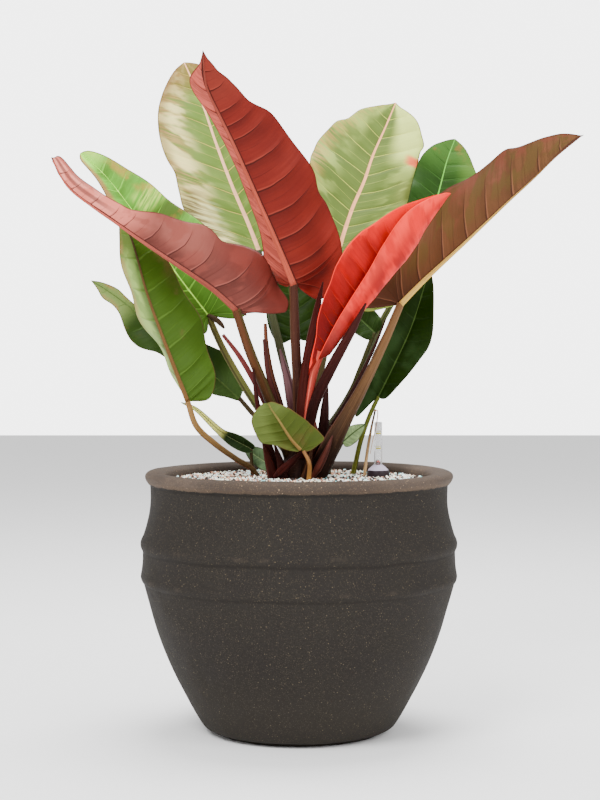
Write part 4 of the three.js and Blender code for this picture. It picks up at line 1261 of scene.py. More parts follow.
def standing_places():
    """Where stalks, sheaths and the gauge come out of the granulate: x, y and radius."""
    found = [(*GAUGE, BASE_RADIUS)]
    stems = [*CROWN_STALKS.values(), *REAR_STALKS.values(), *LOOSE_STALKS.values(), *SHEATHS.values(),
             CROWN_STEM, REAR_STEM, DRY_STRIP]
    for stem in stems:
        line = Line(stem["path"])
        heights = line.samples[:, 2]
        if heights.min() < GRANULATE_TOP < heights.max():
            nearest = np.abs(heights - GRANULATE_TOP).argmin()
            radius = even(stem["radii"], line.shares[nearest])
            found.append((*line.samples[nearest, :2], float(radius)))
    return found


# Water gauge

def gauge_piece(name, profile, crease):
    return turned(name, profile, sides=GAUGE_SIDES, centre=GAUGE, crease=crease)


def dress_in_two(piece, low, high, level):
    """Gives a piece one material below a height and another above it."""
    dress(piece, low, high)
    for face in piece.data.polygons:
        face.material_index = int(face.center.z > level * MM)
    return piece


def make_gauge_base():
    dark = plastic("dark violet plastic", (58, 44, 51), (74, 60, 68), shine=0.15)
    pieces = [gauge_piece("base", GAUGE_BASE, 35), gauge_piece("shaft", GAUGE_SHAFT, 35)]
    place(dress(joined("gauge_base", pieces), dark), ["gauge_shaft"], "gauge_base")


def make_gauge_tube():
    clear = clear_plastic("clear plastic", 0.94, (236, 234, 236), 0.04)
    frosted = clear_plastic("frosted plastic", 0.2, (206, 203, 209), 0.14)
    head = dress_in_two(gauge_piece("gauge_tube", GAUGE_CONE, 40), frosted, clear, FROSTED_BELOW)
    place(head, ["gauge_head"], "gauge_clear")


def make_gauge_marks():
    yellow = plastic("yellow print", (203, 199, 52), (208, 203, 66), gloss=0.5, shine=0.1)
    bars = [scale_mark(height, thick) for height, thick in SCALE_MARKS.items()]
    place(dress(joined("gauge_marks", bars), yellow), ["gauge_scale"], "gauge_bars")


def make_gauge_float():
    red = plastic("red float", (146, 24, 14), (166, 36, 18), shine=0.1)
    orange = plastic("orange float top", (204, 84, 30), (212, 100, 40), shine=0.1)
    tip = dress_in_two(gauge_piece("tip", FLOAT_TIP, 50), red, orange, ORANGE_ABOVE)
    rod = dress(gauge_piece("rod", FLOAT_ROD, 50), red)
    body = dress(gauge_piece("body", FLOAT_BODY, 50), red)
    place(joined("float_rod", [tip, rod, body]), ["gauge_float"], "gauge_red", body="gauge_float")


def scale_mark(height, thick):
    """A short printed bar round the front of the tube, cut from a thin ring."""
    half = thick / 2
    inner, outer = MARK_RADII
    left, right = MARK_LEAN - MARK_SPREAD, MARK_LEAN + MARK_SPREAD
    ring = [(inner, height - half), (outer, height - half), (outer, height + half), (inner, height + half),
            (inner, height - half)]
    mark = turned(f"mark_{height}", ring, sides=GAUGE_SIDES, centre=GAUGE)
    bpy.ops.object.mode_set(mode="EDIT")
    for across in ((math.cos(left), math.sin(left), 0), (-math.cos(right), -math.sin(right), 0)):
        bpy.ops.mesh.select_all(action="SELECT")
        bpy.ops.mesh.bisect(plane_co=(GAUGE[0] * MM, GAUGE[1] * MM, 0), plane_no=across, use_fill=True,
                            clear_inner=True)
    bpy.ops.object.mode_set(mode="OBJECT")
    return mark


# Leaves

def lower_margin(edge, length, roots, sweep):
    """Where rows meet the margin, as share along and distance out. Rows below 0 fan round the lobe."""
    knots = np.array([*edge, (1, 0)], float) / (1, length)
    samples = []
    for index in range(len(knots) - 1):
        a, b, c, d = (knots[min(max(index + step, 0), len(knots) - 1)] for step in (-1, 0, 1, 2))
        t = np.linspace(0, 1, 60, endpoint=False)[:, None]
        samples.append(stretch_of(b, c, (c - a) / 2, (d - b) / 2, t))
    samples = np.vstack([*samples, knots[-1:]])
    lean = samples[:, 0] - sweep * samples[:, 1]
    first = int(np.argmax(lean > 0))
    reached = np.maximum.accumulate(lean[first:]) + 1e-9 * np.arange(len(lean) - first)
    index = np.where(roots < 0, first * (1 + roots),
                     first + np.interp(roots, reached, np.arange(len(reached))))
    whole = np.arange(len(samples))
    margin = np.stack([np.interp(index, whole, samples[:, axis]) for axis in (0, 1)], axis=-1)
    return margin * (1, length)


def row_roots(veins):
    """Where a blade's rows leave the midrib, close together at each vein, with the number of the vein."""
    knots = [0, *veins, 1]
    roots, numbers = [], []
    for number, (start, stop) in enumerate(zip(knots, knots[1:])):
        steps = VEIN_STEPS if stop - start > SHORT_STRETCH else VEIN_STEPS[::3]
        roots += [start + (stop - start) * step for step in steps]
        numbers += [number + step for step in steps]
    fan = np.linspace(-1, 0, LOBE_ROWS, endpoint=False)
    return np.array([*fan, *roots, 1.0]), np.array([*(fan * LOBE_VEINS), *numbers, len(knots) - 1.0])


def half_blade(leaf, spine, side, roots, numbers, pillow, crease):
    """One half of a blade: its places, and its two UV maps."""
    half = {**HALF, **leaf["left" if side < 0 else "right"]}
    width = max(out for _, out in half["edge"])
    margin = lower_margin(half["edge"], spine.length, roots, half["sweep"])
    share = np.linspace(0, 1, COLUMNS + 1)[None, :]
    root = np.maximum(roots, 0)[:, None]
    along = root + (margin[:, :1] - root) * share ** half["bow"]
    along -= half["dip"] * 4 * share * (1 - share) * margin[:, 1:] / spine.length
    out = np.maximum(margin[:, 1:] * share, 0)
    inside = along.clip(0, 1)
    heading = spine.heading(inside)
    ground = spine.at(inside) + heading * ((along - inside) * spine.length)[..., None]
    face = unit(FACING - (heading @ FACING)[..., None] * heading)
    across = np.cross(heading, face) * side
    start = np.radians(even(half["fold"], inside))
    bend = math.radians(half["curl"]) / (np.maximum(margin[:, 1:], 0.5) if half["rolled"] else width)
    end = start + bend * out
    sideways = (np.sin(end) - np.sin(start)) / bend
    forwards = (np.cos(start) - np.cos(end)) / bend * half["depth"]
    wave = half["wave"] * (out / width) ** 2 * np.sin(2 * np.pi * (half["waves"] * along + side / 8))
    part = numbers[:, None] - np.floor(numbers[:, None])
    apart = np.minimum(part, 1 - part)
    open_blade = (4 * share * (1 - share)) ** 0.5
    sunken = crease * np.exp(-((apart / CREASE_WIDTH) ** 2)) * (1 - share) ** 0.6
    lift = pillow * np.sin(np.pi * part) * open_blade - sunken
    lift *= np.minimum(1, margin[:, 1:] / NARROW_MARGIN) * (-1 if leaf["underside"] else 1)
    if half["rolled"]:
        lift *= ROLLED_RELIEF
    ripple = wave + lift
    places = (ground + across * (sideways - ripple * np.sin(end))[..., None]
              + face * (forwards + ripple * np.cos(end))[..., None])
    numbered = np.broadcast_to(numbers[:, None], out.shape)
    veins = np.stack([numbered, side * np.broadcast_to(share, out.shape)], -1)
    lay = np.stack([inside, np.maximum(margin[:, 1:] - out, 0) * MM], -1)
    return places, {"veins": veins, "lay": lay}


def make_blade(name, leaf, skins, slot):
    """One blade: a waved sheet with sunken veins, given its thickness, and its midrib underneath."""
    spine = Line(leaf["midrib"])
    roots, numbers = row_roots(VEINS.get(name, SMALL_VEINS))
    share = 0.5 if spine.length < SMALL_BLADE else 1
    relief = (PILLOW * share, CREASE * share)
    left, right = (half_blade(leaf, spine, side, roots, numbers, *relief) for side in (-1, 1))
    places = np.concatenate([left[0][:, :0:-1], right[0]], axis=1)
    maps = {
        title: np.concatenate([left[1][title][:, :0:-1], right[1][title]], axis=1) for title in left[1]
    }
    sheet = surface(f"leaf_{name}", places, maps)
    tidy_mesh(sheet, merge=0.00004, outward=False)
    front, back, edge, rib = skins
    dress(sheet, front, back, edge)
    modified(sheet, "SOLIDIFY", thickness=BLADE_THICKNESS * MM, offset=0, material_offset=1,
             material_offset_rim=2, use_even_offset=False)
    way = 1 if leaf["underside"] else -1
    share = np.linspace(0, RIB_END, 9)
    radii = even(leaf["rib"], share)
    heading = spine.heading(share)
    out = unit(FACING - (heading @ FACING)[:, None] * heading)
    path = spine.at(share) + out * (way * (0.5 * radii + 0.2))[:, None]
    midrib = dress(tube("rib", path, radii * 0.95, sides=14, steps=50, bow=0.5), rib)
    whole = joined(f"leaf_{name}", [sheet, midrib])
    bpy.ops.object.shade_smooth()
    return place(whole, [f"blade_{name}"], slot)


# Looks of the blades. Sides are as seen from the front: left is below 0. Each skin has painted shade between
# its veins and a painted line next to each vein, lighter or darker than the blade, for the light and shadow
# of the veins' relief.

DARK_REST = {
    "back": {"base": (60, 80, 40), "shade": (46, 66, 28)},
    "rib": ((80, 80, 44), (96, 104, 60)),
}

LEAF_LOOKS = {
    "front_red": {
        "slot": "leaf_brick",
        "front": {
            # The dark vein colour and the dark band a little wider than the midrib are painted shadow of the
            # raised veins and midrib; the light line next to each vein is a painted highlight.
            "base": (160, 58, 46), "shade": (132, 40, 36), "vein": (80, 27, 23), "rib": (96, 34, 28),
            "edge": (120, 36, 30), "beside": (178, 90, 74), "vein_width": 0.038, "rib_width": 0.0056,
            "rib_tip": 0.0014, "hollow": 0.45, "vein_strength": 0.9, "patches": [
                ((202, 138, 124), 0.9, {"side": (0.02, -0.1), "along": (0.0, 0.1)}),
                ((176, 98, 84), 0.6, {"side": (0.02, -0.1), "streaks": (0.3, 0.7)}),
                ((166, 78, 64), 0.6, {"side": (0.02, 0.1), "along": (0.7, 0.86)}),
                ((112, 16, 12), 0.7, {"side": (0.02, 0.2), "along": (0.04, 0.0)}),
                # Painted light on the right half near the foot, lifting the shade that falls there.
                ((180, 76, 62), 0.5, {"side": (0.55, 0.85), "along": (0.22, 0.08)}),
            ],
        },
        "back": {"base": (122, 50, 36), "shade": (98, 36, 26)},
        "rib": ((204, 138, 116), (176, 100, 84)),
    },
    "left_red": {
        "slot": "leaf_rose",
        "front": {
            # The dark vein colour is painted shadow of the raised veins, and the light line next to each vein
            # a painted highlight.
            "base": (150, 86, 77), "shade": (128, 64, 56), "vein": (80, 38, 34), "rib": (104, 48, 42),
            "edge": (112, 50, 42), "beside": (182, 126, 114), "vein_width": 0.034, "rib_width": 0.0048,
            "rib_tip": 0.0014, "hollow": 0.4, "relief": 0.0004, "patches": [
                ((186, 134, 122), 0.6, {"spots": (11, 0.52), "share": (0.1, 0.5), "along": (0.12, 0.32)}),
                ((212, 170, 158), 0.9, {"along": (0.46, 0.66)}),
                ((228, 196, 188), 0.4, {"along": (0.6, 0.8), "strokes": (0.3, 0.7)}),
                ((150, 88, 80), 0.75, {"side": (0.3, 0.42, 0.66, 0.54), "along": (0.6, 0.75)}),
                ((160, 98, 88), 0.6, {"side": (0.7, 0.85), "along": (0.7, 0.85)}),
                ((168, 100, 88), 0.6, {"strokes": (0.5, 0.9), "along": (0.7, 0.5)}),
                ((120, 44, 36), 0.8, {"along": (0.22, 0.0), "share": (0.25, 0.7)}),
                ((166, 78, 68), 0.25, {"along": (0.3, 0.1), "share": (0.4, 0.8), "spots": (20, 0.48)}),
            ],
        },
        "back": {"base": (126, 70, 56), "shade": (104, 50, 40)},
        "rib": ((186, 118, 102), (206, 150, 136)),
    },
    "right_brown": {
        "slot": "leaf_brown",
        "front": {
            # The dark vein colour is painted shadow of the raised veins, and the light line next to each vein
            # a painted highlight.
            "base": (142, 98, 66), "shade": (118, 76, 46), "vein": (80, 44, 34), "rib": (104, 62, 44),
            "edge": (112, 56, 46), "beside": (172, 128, 96), "vein_width": 0.036, "rib_width": 0.0036,
            "rib_tip": 0.0012, "hollow": 0.3, "vein_strength": 0.85, "patches": [
                ((170, 104, 88), 0.45, {"spots": (22, 0.56), "share": (0.3, 0.6)}),
                ((134, 100, 58), 0.6, {"along": (0.7, 0.95)}),
                ((112, 76, 46), 0.5, {"along": (0.55, 0.7), "streaks": (0.4, 0.7)}),
                ((122, 98, 52), 0.65, {"strokes": (0.35, 0.75), "share": (0.1, 0.4, 1.0, 0.8)}),
                ((152, 84, 68), 0.5, {"share": (0.7, 0.9), "strokes": (0.6, 0.3)}),
                ((88, 50, 34), 0.85, {"along": (0.2, 0.0)}),
            ],
        },
        "back": {
            "base": (104, 72, 44), "shade": (84, 56, 34),
            "patches": [((204, 212, 162), 0.9, {"side": (0.02, 0.1), "along": (0.16, 0.05)})],
        },
        "rib": ((228, 208, 162), (146, 92, 72)),
    },
    "new": {
        "slot": "leaf_young",
        "front": {
            "base": (206, 56, 40), "shade": (176, 36, 24), "vein": (214, 84, 64), "rib": (150, 26, 20),
            # The dark line next to each vein is painted shadow.
            "edge": (230, 120, 110), "beside": (146, 26, 18), "gloss": 0.3, "shine": 0.1,
            "vein_strength": 0.3, "edge_width": 0.0016, "patches": [
                ((126, 14, 10), 0.9, {"along": (0.5, 0.1)}),
                ((222, 82, 76), 0.75, {"along": (0.55, 0.75), "share": (0.2, 0.8)}),
                ((226, 110, 100), 0.6, {"along": (0.4, 0.6), "share": (0.75, 0.95), "strokes": (0.4, 0.7)}),
                ((120, 12, 10), 0.8, {"share": (0.35, 0.0)}),
                ((112, 14, 12), 0.9, {"along": (0.95, 0.99)}),
            ],
        },
        "back": {
            "base": (214, 80, 77), "shade": (188, 58, 57), "gloss": 0.34, "shine": 0.1, "streak": 0.25,
            "mottle": 0.7, "vein_strength": 0.15, "relief": 0.0005, "patches": [
                # Painted highlights along the roll.
                ((240, 144, 138), 0.8, {"share": (0.72, 0.92), "strokes": (0.1, 0.7)}),
                ((236, 140, 134), 0.4, {"share": (0.36, 0.5, 0.76, 0.6), "strokes": (0.8, 0.2)}),
                ((150, 40, 38), 0.5, {"strokes": (0.4, 0.9), "along": (0.8, 0.5)}),
                ((170, 66, 60), 0.8, {"along": (0.3, 0.12)}),
                ((128, 30, 26), 0.8, {"along": (0.12, 0.02)}),
            ],
        },
        "rib": ((140, 36, 30), (200, 90, 76)),
    },
    "pale_left": {
        "slot": "leaf_pale",
        "front": {
            "base": (168, 184, 114), "shade": (146, 166, 88), "vein": (214, 206, 154), "rib": (250, 208, 196),
            # The dark line next to each vein is painted shadow.
            "edge": (150, 118, 78), "beside": (124, 146, 70), "vein_width": 0.026, "rib_width": 0.003,
            "rib_tip": 0.001, "vein_strength": 0.6, "patches": [
                ((134, 162, 76), 0.6, {"share": (0.5, 0.1), "strokes": (0.3, 0.7)}),
                ((204, 188, 150), 0.7, {"share": (0.35, 0.8), "streaks": (0.2, 0.8)}),
                ((222, 216, 192), 0.8, {"share": (0.25, 0.7), "strokes": (0.85, 0.2), "along": (0.02, 0.1)}),
                ((226, 222, 204), 0.4, {"share": (0.3, 0.6), "along": (0.36, 0.26), "streaks": (0.8, 0.2)}),
                ((172, 146, 86), 0.75, {"along": (0.78, 0.94)}),
                ((112, 84, 54), 0.85, {
                    "share": (0.45, 0.85), "along": (0.1, 0.2, 0.42, 0.34), "streaks": (0.1, 0.7),
                }),
                ((168, 134, 92), 0.5, {"share": (0.75, 0.95), "along": (0.4, 0.5)}),
            ],
        },
        "back": {"base": (150, 158, 100), "shade": (132, 144, 84)},
        "rib": ((190, 150, 130), (214, 190, 160)),
    },
    "pale_right": {
        "slot": "leaf_pale",
        "front": {
            "base": (154, 170, 102), "shade": (132, 152, 78), "vein": (208, 210, 150), "rib": (246, 204, 188),
            # The dark line next to each vein is painted shadow.
            "edge": (150, 130, 84), "beside": (118, 140, 64), "vein_width": 0.028, "rib_width": 0.003,
            "rib_tip": 0.001, "vein_strength": 0.7, "patches": [
                ((198, 204, 152), 0.5, {"share": (0.3, 0.7), "strokes": (0.1, 0.9)}),
                ((124, 146, 72), 0.5, {"share": (0.1, 0.4), "strokes": (0.75, 0.4), "along": (0.7, 0.5)}),
                ((202, 184, 134), 0.6, {"side": (-0.6, -0.95), "streaks": (0.2, 0.7)}),
                ((212, 216, 176), 0.8, {"side": (0.2, 0.6), "along": (0.56, 0.76), "spots": (9, 0.4)}),
                ((196, 202, 148), 0.35, {"side": (-0.4, -0.7), "along": (0.66, 0.8)}),
                ((186, 184, 126), 0.25, {"side": (0.5, 0.85), "along": (0.25, 0.4, 0.6, 0.5)}),
                ((226, 140, 126), 0.85, {"side": (0.66, 0.86), "along": (0.645, 0.675, 0.735, 0.705)}),
            ],
        },
        "back": {"base": (146, 154, 96), "shade": (128, 138, 80)},
        "rib": ((180, 140, 116), (206, 184, 150)),
    },
    "green_right": {
        "slot": "leaf_green",
        "front": {
            "base": (60, 104, 34), "shade": (40, 80, 20), "vein": (104, 152, 76), "rib": (152, 196, 112),
            # The dark line next to each vein is painted shadow.
            "edge": (70, 80, 34), "beside": (30, 66, 12), "vein_strength": 0.5, "rib_width": 0.0014,
            "rib_tip": 0.0007, "patches": [
                ((112, 156, 76), 0.75, {"along": (0.6, 0.9)}),
                ((124, 158, 76), 0.8, {"side": (0.3, 0.8)}),
                ((168, 140, 84), 0.8, {"spots": (46, 0.64), "along": (0.78, 0.88)}),
            ],
        },
        "back": {"base": (98, 130, 74), "shade": (84, 114, 60)},
        "rib": ((120, 130, 80), (140, 150, 96)),
    },
    "green_long": {
        "slot": "leaf_green",
        "front": {
            "base": (168, 204, 116), "shade": (132, 172, 82), "vein": (196, 218, 146), "rib": (204, 220, 154),
            # The dark line next to each vein is painted shadow.
            "edge": (132, 112, 66), "beside": (100, 140, 54), "vein_strength": 0.4, "rib_width": 0.0014,
            "rib_tip": 0.0008, "patches": [
                ((104, 138, 50), 0.75, {"along": (0.34, 0.12)}),
                ((104, 140, 46), 0.6, {"side": (0.0, -0.1), "along": (0.7, 0.5)}),
                # Painted shade on the right half where the blade curls over.
                ((110, 128, 54), 0.8, {"along": (0.42, 0.49, 0.6, 0.54), "side": (0.0, 0.3)}),
                ((212, 222, 164), 0.8, {
                    "along": (0.55, 0.61, 0.7, 0.64), "side": (0.1, 0.4), "streaks": (0.0, 0.8),
                }),
                ((208, 168, 122), 0.5, {"side": (0.45, 0.75), "spots": (30, 0.56), "along": (0.42, 0.5)}),
                ((200, 218, 152), 0.7, {"along": (0.85, 0.94)}),
                ((190, 136, 112), 0.75, {"side": (-0.5, -0.85), "along": (0.5, 0.6)}),
            ],
        },
        "back": {"base": (150, 140, 96), "shade": (126, 126, 78)},
        "rib": ((120, 110, 70), (150, 160, 100)),
    },
    "green_big": {
        "slot": "leaf_green",
        "front": {
            "base": (98, 134, 46), "shade": (78, 112, 30), "vein": (128, 158, 72), "rib": (66, 88, 24),
            # The dark line next to each vein is painted shadow.
            "edge": (136, 104, 66), "beside": (68, 96, 20), "vein_strength": 0.5, "rib_width": 0.0026,
            "rib_tip": 0.001, "hollow": 0.12, "patches": [
                ((186, 198, 142), 0.92, {"side": (-0.1, -0.5)}),
                ((140, 166, 90), 0.5, {"side": (0.0, -0.1), "strokes": (0.3, 0.7)}),
                ((116, 138, 56), 0.9, {"side": (0.0, -0.06), "along": (0.72, 0.86)}),
                ((190, 156, 120), 0.5, {"side": (-0.66, -0.9), "along": (0.35, 0.55), "spots": (26, 0.46)}),
                ((150, 110, 74), 0.6, {"side": (0.5, 0.9), "along": (0.5, 0.75), "spots": (26, 0.45)}),
                ((150, 112, 76), 0.5, {"side": (0.3, 0.5, 0.95, 0.8), "spots": (40, 0.68)}),
            ],
        },
        "back": {"base": (60, 88, 24), "shade": (46, 72, 16)},
        "rib": ((168, 134, 84), (100, 78, 44)),
    },
    "dark_left": {
        "slot": "leaf_dark",
        "front": {
            "base": (66, 98, 30), "shade": (44, 74, 16), "vein": (112, 142, 72), "rib": (126, 150, 84),
            "edge": (110, 90, 48), "vein_strength": 0.3, "rib_width": 0.0014, "patches": [
                ((164, 178, 120), 0.85, {"along": (0.66, 0.8)}),
                ((190, 150, 110), 0.5, {"along": (0.55, 0.75), "spots": (40, 0.6), "share": (0.4, 0.8)}),
                ((46, 76, 28), 0.8, {"along": (0.5, 0.34, 0.18, 0.28)}),
                ((104, 136, 68), 0.85, {"along": (0.2, 0.1)}),
            ],
        },
        "back": {"base": (80, 104, 58), "shade": (66, 90, 46)},
        "rib": ((90, 88, 50), (110, 120, 70)),
    },
    "dark_right": {
        "slot": "leaf_dark",
        "front": {
            "base": (32, 56, 6), "shade": (16, 38, 0), "vein": (60, 92, 40), "rib": (92, 120, 56),
            "edge": (70, 62, 26), "vein_strength": 0.3, "rib_width": 0.0012, "hollow": 0.2, "shine": 0.04,
            "patches": [
                ((66, 98, 48), 0.6, {"share": (0.05, 0.4), "spots": (16, 0.45), "along": (0.6, 0.4)}),
            ],
        },
        **DARK_REST,
    },
    "dark_back": {
        "slot": "leaf_dark",
        "front": {
            "base": (58, 92, 18), "shade": (16, 44, 0), "vein": (96, 128, 58), "rib": (84, 110, 50),
            "edge": (60, 60, 24), "vein_strength": 0.4, "rib_width": 0.0012,
        },
        **DARK_REST,
    },
    "dark_centre": {
        "slot": "leaf_dark",
        "front": {
            "base": (64, 98, 36), "shade": (46, 78, 20), "vein": (100, 132, 68), "rib": (110, 140, 76),
            "edge": (90, 84, 44), "vein_strength": 0.5, "rib_width": 0.0012,
        },
        **DARK_REST,
    },
    "small_front": {
        "slot": "leaf_small",
        "front": {
            "base": (102, 118, 42), "shade": (86, 102, 32), "vein": (136, 146, 74), "rib": (110, 122, 50),
            "edge": (136, 108, 64), "vein_strength": 0.25, "rib_width": 0.0026, "hollow": 0.12, "patches": [
                ((142, 156, 88), 0.75, {"side": (-0.2, -0.65)}),
                ((136, 150, 84), 0.6, {"along": (0.6, 0.9)}),
                ((122, 96, 48), 0.5, {"along": (0.4, 0.1), "spots": (30, 0.46)}),
            ],
        },
        "back": {"base": (84, 96, 38), "shade": (70, 82, 30)},
        "rib": ((186, 166, 110), (170, 164, 100)),
    },
    "small_right": {
        "slot": "leaf_small",
        "front": {
            "base": (200, 210, 182), "shade": (158, 174, 138), "vein": (112, 132, 86), "rib": (112, 132, 86),
            "edge": (110, 116, 76), "vein_strength": 0.5, "rib_width": 0.001, "mottle": 0.8, "streak": 0.3,
        },
        "back": {"base": (120, 130, 92), "shade": (104, 114, 76)},
        "rib": ((130, 120, 84), (150, 150, 110)),
    },
    "small_left": {
        "slot": "leaf_dark",
        "front": {
            "base": (56, 84, 40), "shade": (36, 62, 22), "vein": (130, 146, 100), "rib": (160, 168, 130),
            "edge": (132, 148, 102), "vein_strength": 0.3, "rib_width": 0.0009, "edge_width": 0.0008,
            "patches": [
                ((220, 226, 188), 0.92, {"along": (0.32, 0.44)}),
            ],
        },
        "back": {"base": (110, 124, 80), "shade": (84, 102, 60)},
        "rib": ((110, 96, 62), (124, 124, 80)),
    },
    "low_left": {
        "slot": "leaf_small",
        "front": {
            "base": (146, 168, 132), "shade": (120, 144, 104),
            "vein": (166, 180, 146), "rib": (170, 182, 146),
            "edge": (100, 96, 62), "vein_strength": 0.4, "rib_width": 0.0008,
        },
        "back": {"base": (96, 114, 78), "shade": (80, 98, 62)},
        "rib": ((110, 96, 62), (124, 124, 80)),
    },
}


def make_leaves():
    for name, leaf in LEAVES.items():
        looks = LEAF_LOOKS[name]
        front = leaf_skin(f"{name} front", **looks["front"])
        back_look = {"vein": looks["back"]["base"], "rib": looks["rib"][1], "edge": looks["front"]["edge"]}
        back = leaf_skin(f"{name} back", **{"vein_strength": 0.4, **back_look, **looks["back"]})
        edge = stem_skin(f"{name} edge", looks["front"]["edge"], looks["front"]["edge"])
        rib = stem_skin(f"{name} rib", *looks["rib"], pores=0.1, gloss=0.45)
        make_blade(name, leaf, (front, back, edge, rib), looks["slot"])


# Stalks, sheaths and stems

# Colours at the foot and at the end, then the stripe's colour, where it lies round the stalk, and its width
STALK_LOOKS = {
    "front_red": ((72, 32, 24), (112, 62, 46), (140, 96, 68), 0.3, 0.12),
    "left_red": ((84, 56, 26), (142, 90, 56), (112, 98, 50), 0.66, 0.12),
    "right_brown": ((58, 34, 27), (174, 144, 104), (142, 86, 68), 0.26, 0.08),
    "new": ((132, 58, 50), (206, 122, 110), (226, 164, 150), 0.42, 0.05),
    "pale_left": ((104, 98, 60), (118, 126, 90)),
    "pale_right": ((112, 98, 60), (160, 146, 96)),
    "green_right": ((104, 108, 54), (140, 148, 82), (72, 80, 34), 0.5, 0.06),
    "green_long": ((154, 164, 94), (170, 164, 108), (92, 80, 50), 0.42, 0.07),
    "dark_left": ((92, 58, 40), (112, 92, 54)),
    "dark_back": ((80, 74, 44), (100, 92, 54)),
    "dark_centre": ((96, 96, 54), (120, 120, 68)),
    "green_big": ((138, 112, 74), (190, 168, 122), (196, 130, 100), 0.28, 0.1),
    "small_front": ((218, 198, 142), (190, 160, 118), (116, 74, 48), 0.7, 0.1),
    "dark_right": ((176, 178, 96), (160, 168, 86), (108, 120, 44), 0.66, 0.08),
    "small_right": ((98, 96, 50), (120, 124, 80)),
    "small_left": ((110, 84, 58), (120, 104, 70)),
    "low_left": ((110, 84, 58), (110, 100, 66)),
}

SHEATH_LOOKS = {
    "tall": ((106, 32, 24), (96, 22, 18), (128, 82, 70), 0.28, 0.07),
    "right_tall": ((70, 24, 21), (88, 29, 25), (128, 62, 56), 0.72, 0.05),
    "grey": ((112, 54, 54), (168, 136, 140), (84, 44, 48), 0.6, 0.05),
    "spike": ((94, 42, 38), (180, 126, 90), (66, 34, 30), 0.6, 0.06),
    "spike_low": ((84, 36, 32), (122, 60, 54), (56, 24, 22), 0.66, 0.06),
    "thin": ((92, 34, 34), (164, 86, 82), (190, 112, 106), 0.7, 0.08),
    "left": ((104, 40, 34), (96, 34, 32), (64, 22, 20), 0.6, 0.08),
    "spindle": ((70, 30, 26), (84, 38, 34), (120, 66, 58), 0.3, 0.05),
    "stub": ((90, 34, 28), (150, 84, 74)),
    "thin_right": ((86, 48, 40), (96, 44, 40), (54, 24, 22), 0.6, 0.08),
    "foot_left": ((84, 30, 24), (104, 42, 34), (136, 64, 54), 0.35, 0.06),
    "foot_inner": ((62, 22, 18), (88, 34, 28), (120, 52, 44), 0.3, 0.06),
    "foot_front": ((112, 40, 34), (92, 30, 26), (60, 16, 12), 0.62, 0.1),
    "foot_middle": ((64, 34, 26), (110, 66, 42), (140, 90, 60), 0.4, 0.06),
    "foot_right": ((60, 30, 24), (96, 54, 42)),
    "foot_pink": ((150, 82, 68), (120, 60, 48), (84, 38, 30), 0.6, 0.08),
}

STALK_NODES = {
    **dict.fromkeys(CROWN_STALKS, "crown"), **dict.fromkeys(REAR_STALKS, "rear_crown"),
    **{name: f"stalk_{name}" for name in LOOSE_STALKS},
}
SLOT_OF = {"crown": "stalk_red", "rear_crown": "stalk_olive", "dry_strip": "sheath_dry"}
TAN_STALKS = {"green_big", "small_front", "small_left"}


def channelled(angle, depth=0.3, width=0.45, flatness=0.05):
    """A sheath's section: round behind, with a groove in front."""
    return 1 - depth * np.exp(-((angle / width) ** 2)) + flatness * np.cos(2 * angle)


def leaf_stalk(angle, depth=0.07, width=0.6):
    """A stalk's section: a little flattened in front."""
    return 1 - depth * np.exp(-((angle / width) ** 2))


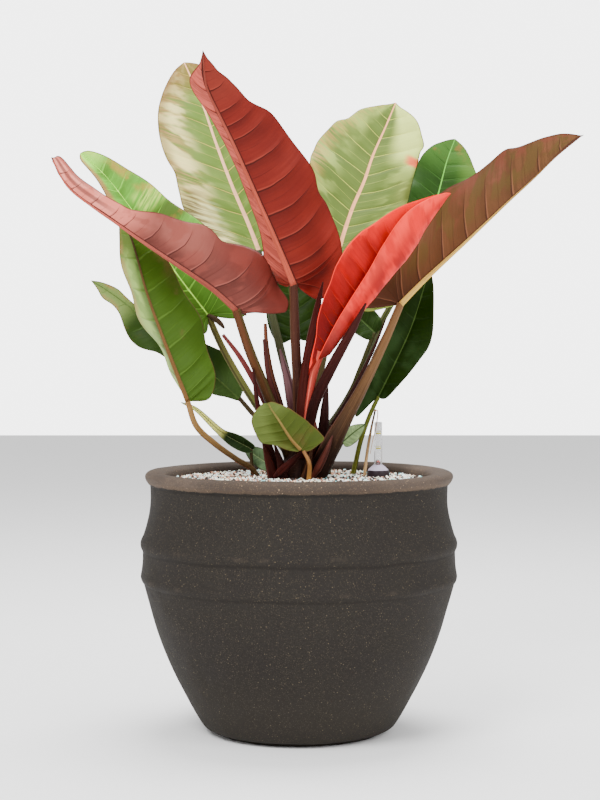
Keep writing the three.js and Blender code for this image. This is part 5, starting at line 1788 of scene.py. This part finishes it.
def make_stalks():
    for name, stem in {**CROWN_STALKS, **REAR_STALKS, **LOOSE_STALKS}.items():
        piece = tube(f"petiole_{name}", stem["path"], stem["radii"], sides=24, steps=90, section=leaf_stalk)
        dress(piece, stem_skin(f"{name} stalk", *STALK_LOOKS[name]))
        node = STALK_NODES[name]
        own_slot = "stalk_tan" if name in TAN_STALKS else "stalk_olive"
        place(piece, [node], SLOT_OF.get(node, own_slot))
    for name, sheath in SHEATHS.items():
        piece = tube(f"sheath_{name}", sheath["path"], sheath["radii"], sides=24, section=channelled)
        dress(piece, stem_skin(f"{name} sheath", *SHEATH_LOOKS[name], pores=0.08))
        place(piece, ["crown"], "stalk_red")
    for name, stem, node, colours in (
        ("stem_front", CROWN_STEM, "crown", ((62, 40, 34), (92, 52, 42))),
        ("stem_rear", REAR_STEM, "rear_crown", ((70, 58, 42), (96, 82, 54))),
        ("dry_strip_old", DRY_STRIP, "dry_strip", ((226, 208, 188), (104, 78, 60))),
        ("dry_thread", DRY_THREAD, "dry_strip", ((224, 196, 170), (230, 208, 188))),
        ("dry_husk", DRY_HUSK, "rear_crown", ((132, 106, 78), (120, 92, 66))),
    ):
        piece = tube(name, stem["path"], stem["radii"], sides=28, steps=40)
        dress(piece, stem_skin(f"{name} skin", *colours))
        place(piece, [node], SLOT_OF[node])


# Scene

def make_air():
    """Pale air that is brighter to the camera than to the plant."""
    world = bpy.data.worlds.new("studio air")
    bpy.context.scene.world = world
    world.use_nodes = True
    nodes = Nodes(world.node_tree)
    shader = world.node_tree.nodes["Background"].inputs
    shader["Color"].default_value = paint(255, 255, 255)
    seen = nodes.add("ShaderNodeLightPath").outputs["Is Camera Ray"]
    nodes.join(nodes.math("MULTIPLY_ADD", seen, WORLD_SEEN - WORLD_LIGHT, WORLD_LIGHT), shader["Strength"])


def make_floor():
    deselect()
    bpy.ops.mesh.primitive_plane_add(size=12)
    floor = added("floor")
    material, nodes, shader = new_material("pale floor")
    cloud = nodes.noise(nodes.object_place(), 3.0)
    nodes.join(nodes.mix(cloud, paint(238, 238, 238), paint(244, 244, 244)), shader["Base Color"])
    shader["Roughness"].default_value = 0.9
    dress(floor, material)


def make_lamps():
    for name, (spot, size, power) in LAMPS.items():
        bpy.ops.object.light_add(type="AREA", location=spot)
        lamp = bpy.context.object
        lamp.name = name
        lamp.data.shape = "DISK"
        lamp.data.size = size
        lamp.data.energy = power
        towards = Vector(LAMP_AIM) - Vector(spot)
        lamp.rotation_euler = towards.to_track_quat("-Z", "Y").to_euler()


def make_camera():
    bpy.ops.object.camera_add(location=CAMERA_PLACE, rotation=(math.pi / 2 - CAMERA_PITCH, 0, 0))
    camera = bpy.context.object
    camera.name = "photo camera"
    camera.data.lens = LENS
    bpy.context.scene.camera = camera


make_air()
make_floor()
make_lamps()
make_camera()
make_planter()
dress(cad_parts["substrate"], soil("substrate", (46, 34, 26), (70, 52, 40)))
# The bed shows only in the gaps between the stones: its brown is partly the granulate's deeper stones and
# partly painted shade in those gaps.
dress(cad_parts["granulate"], soil("granulate bed", (92, 74, 68), (126, 106, 98)))
make_stones()
make_gauge_base()
make_gauge_tube()
make_gauge_marks()
make_gauge_float()
make_stalks()
make_leaves()
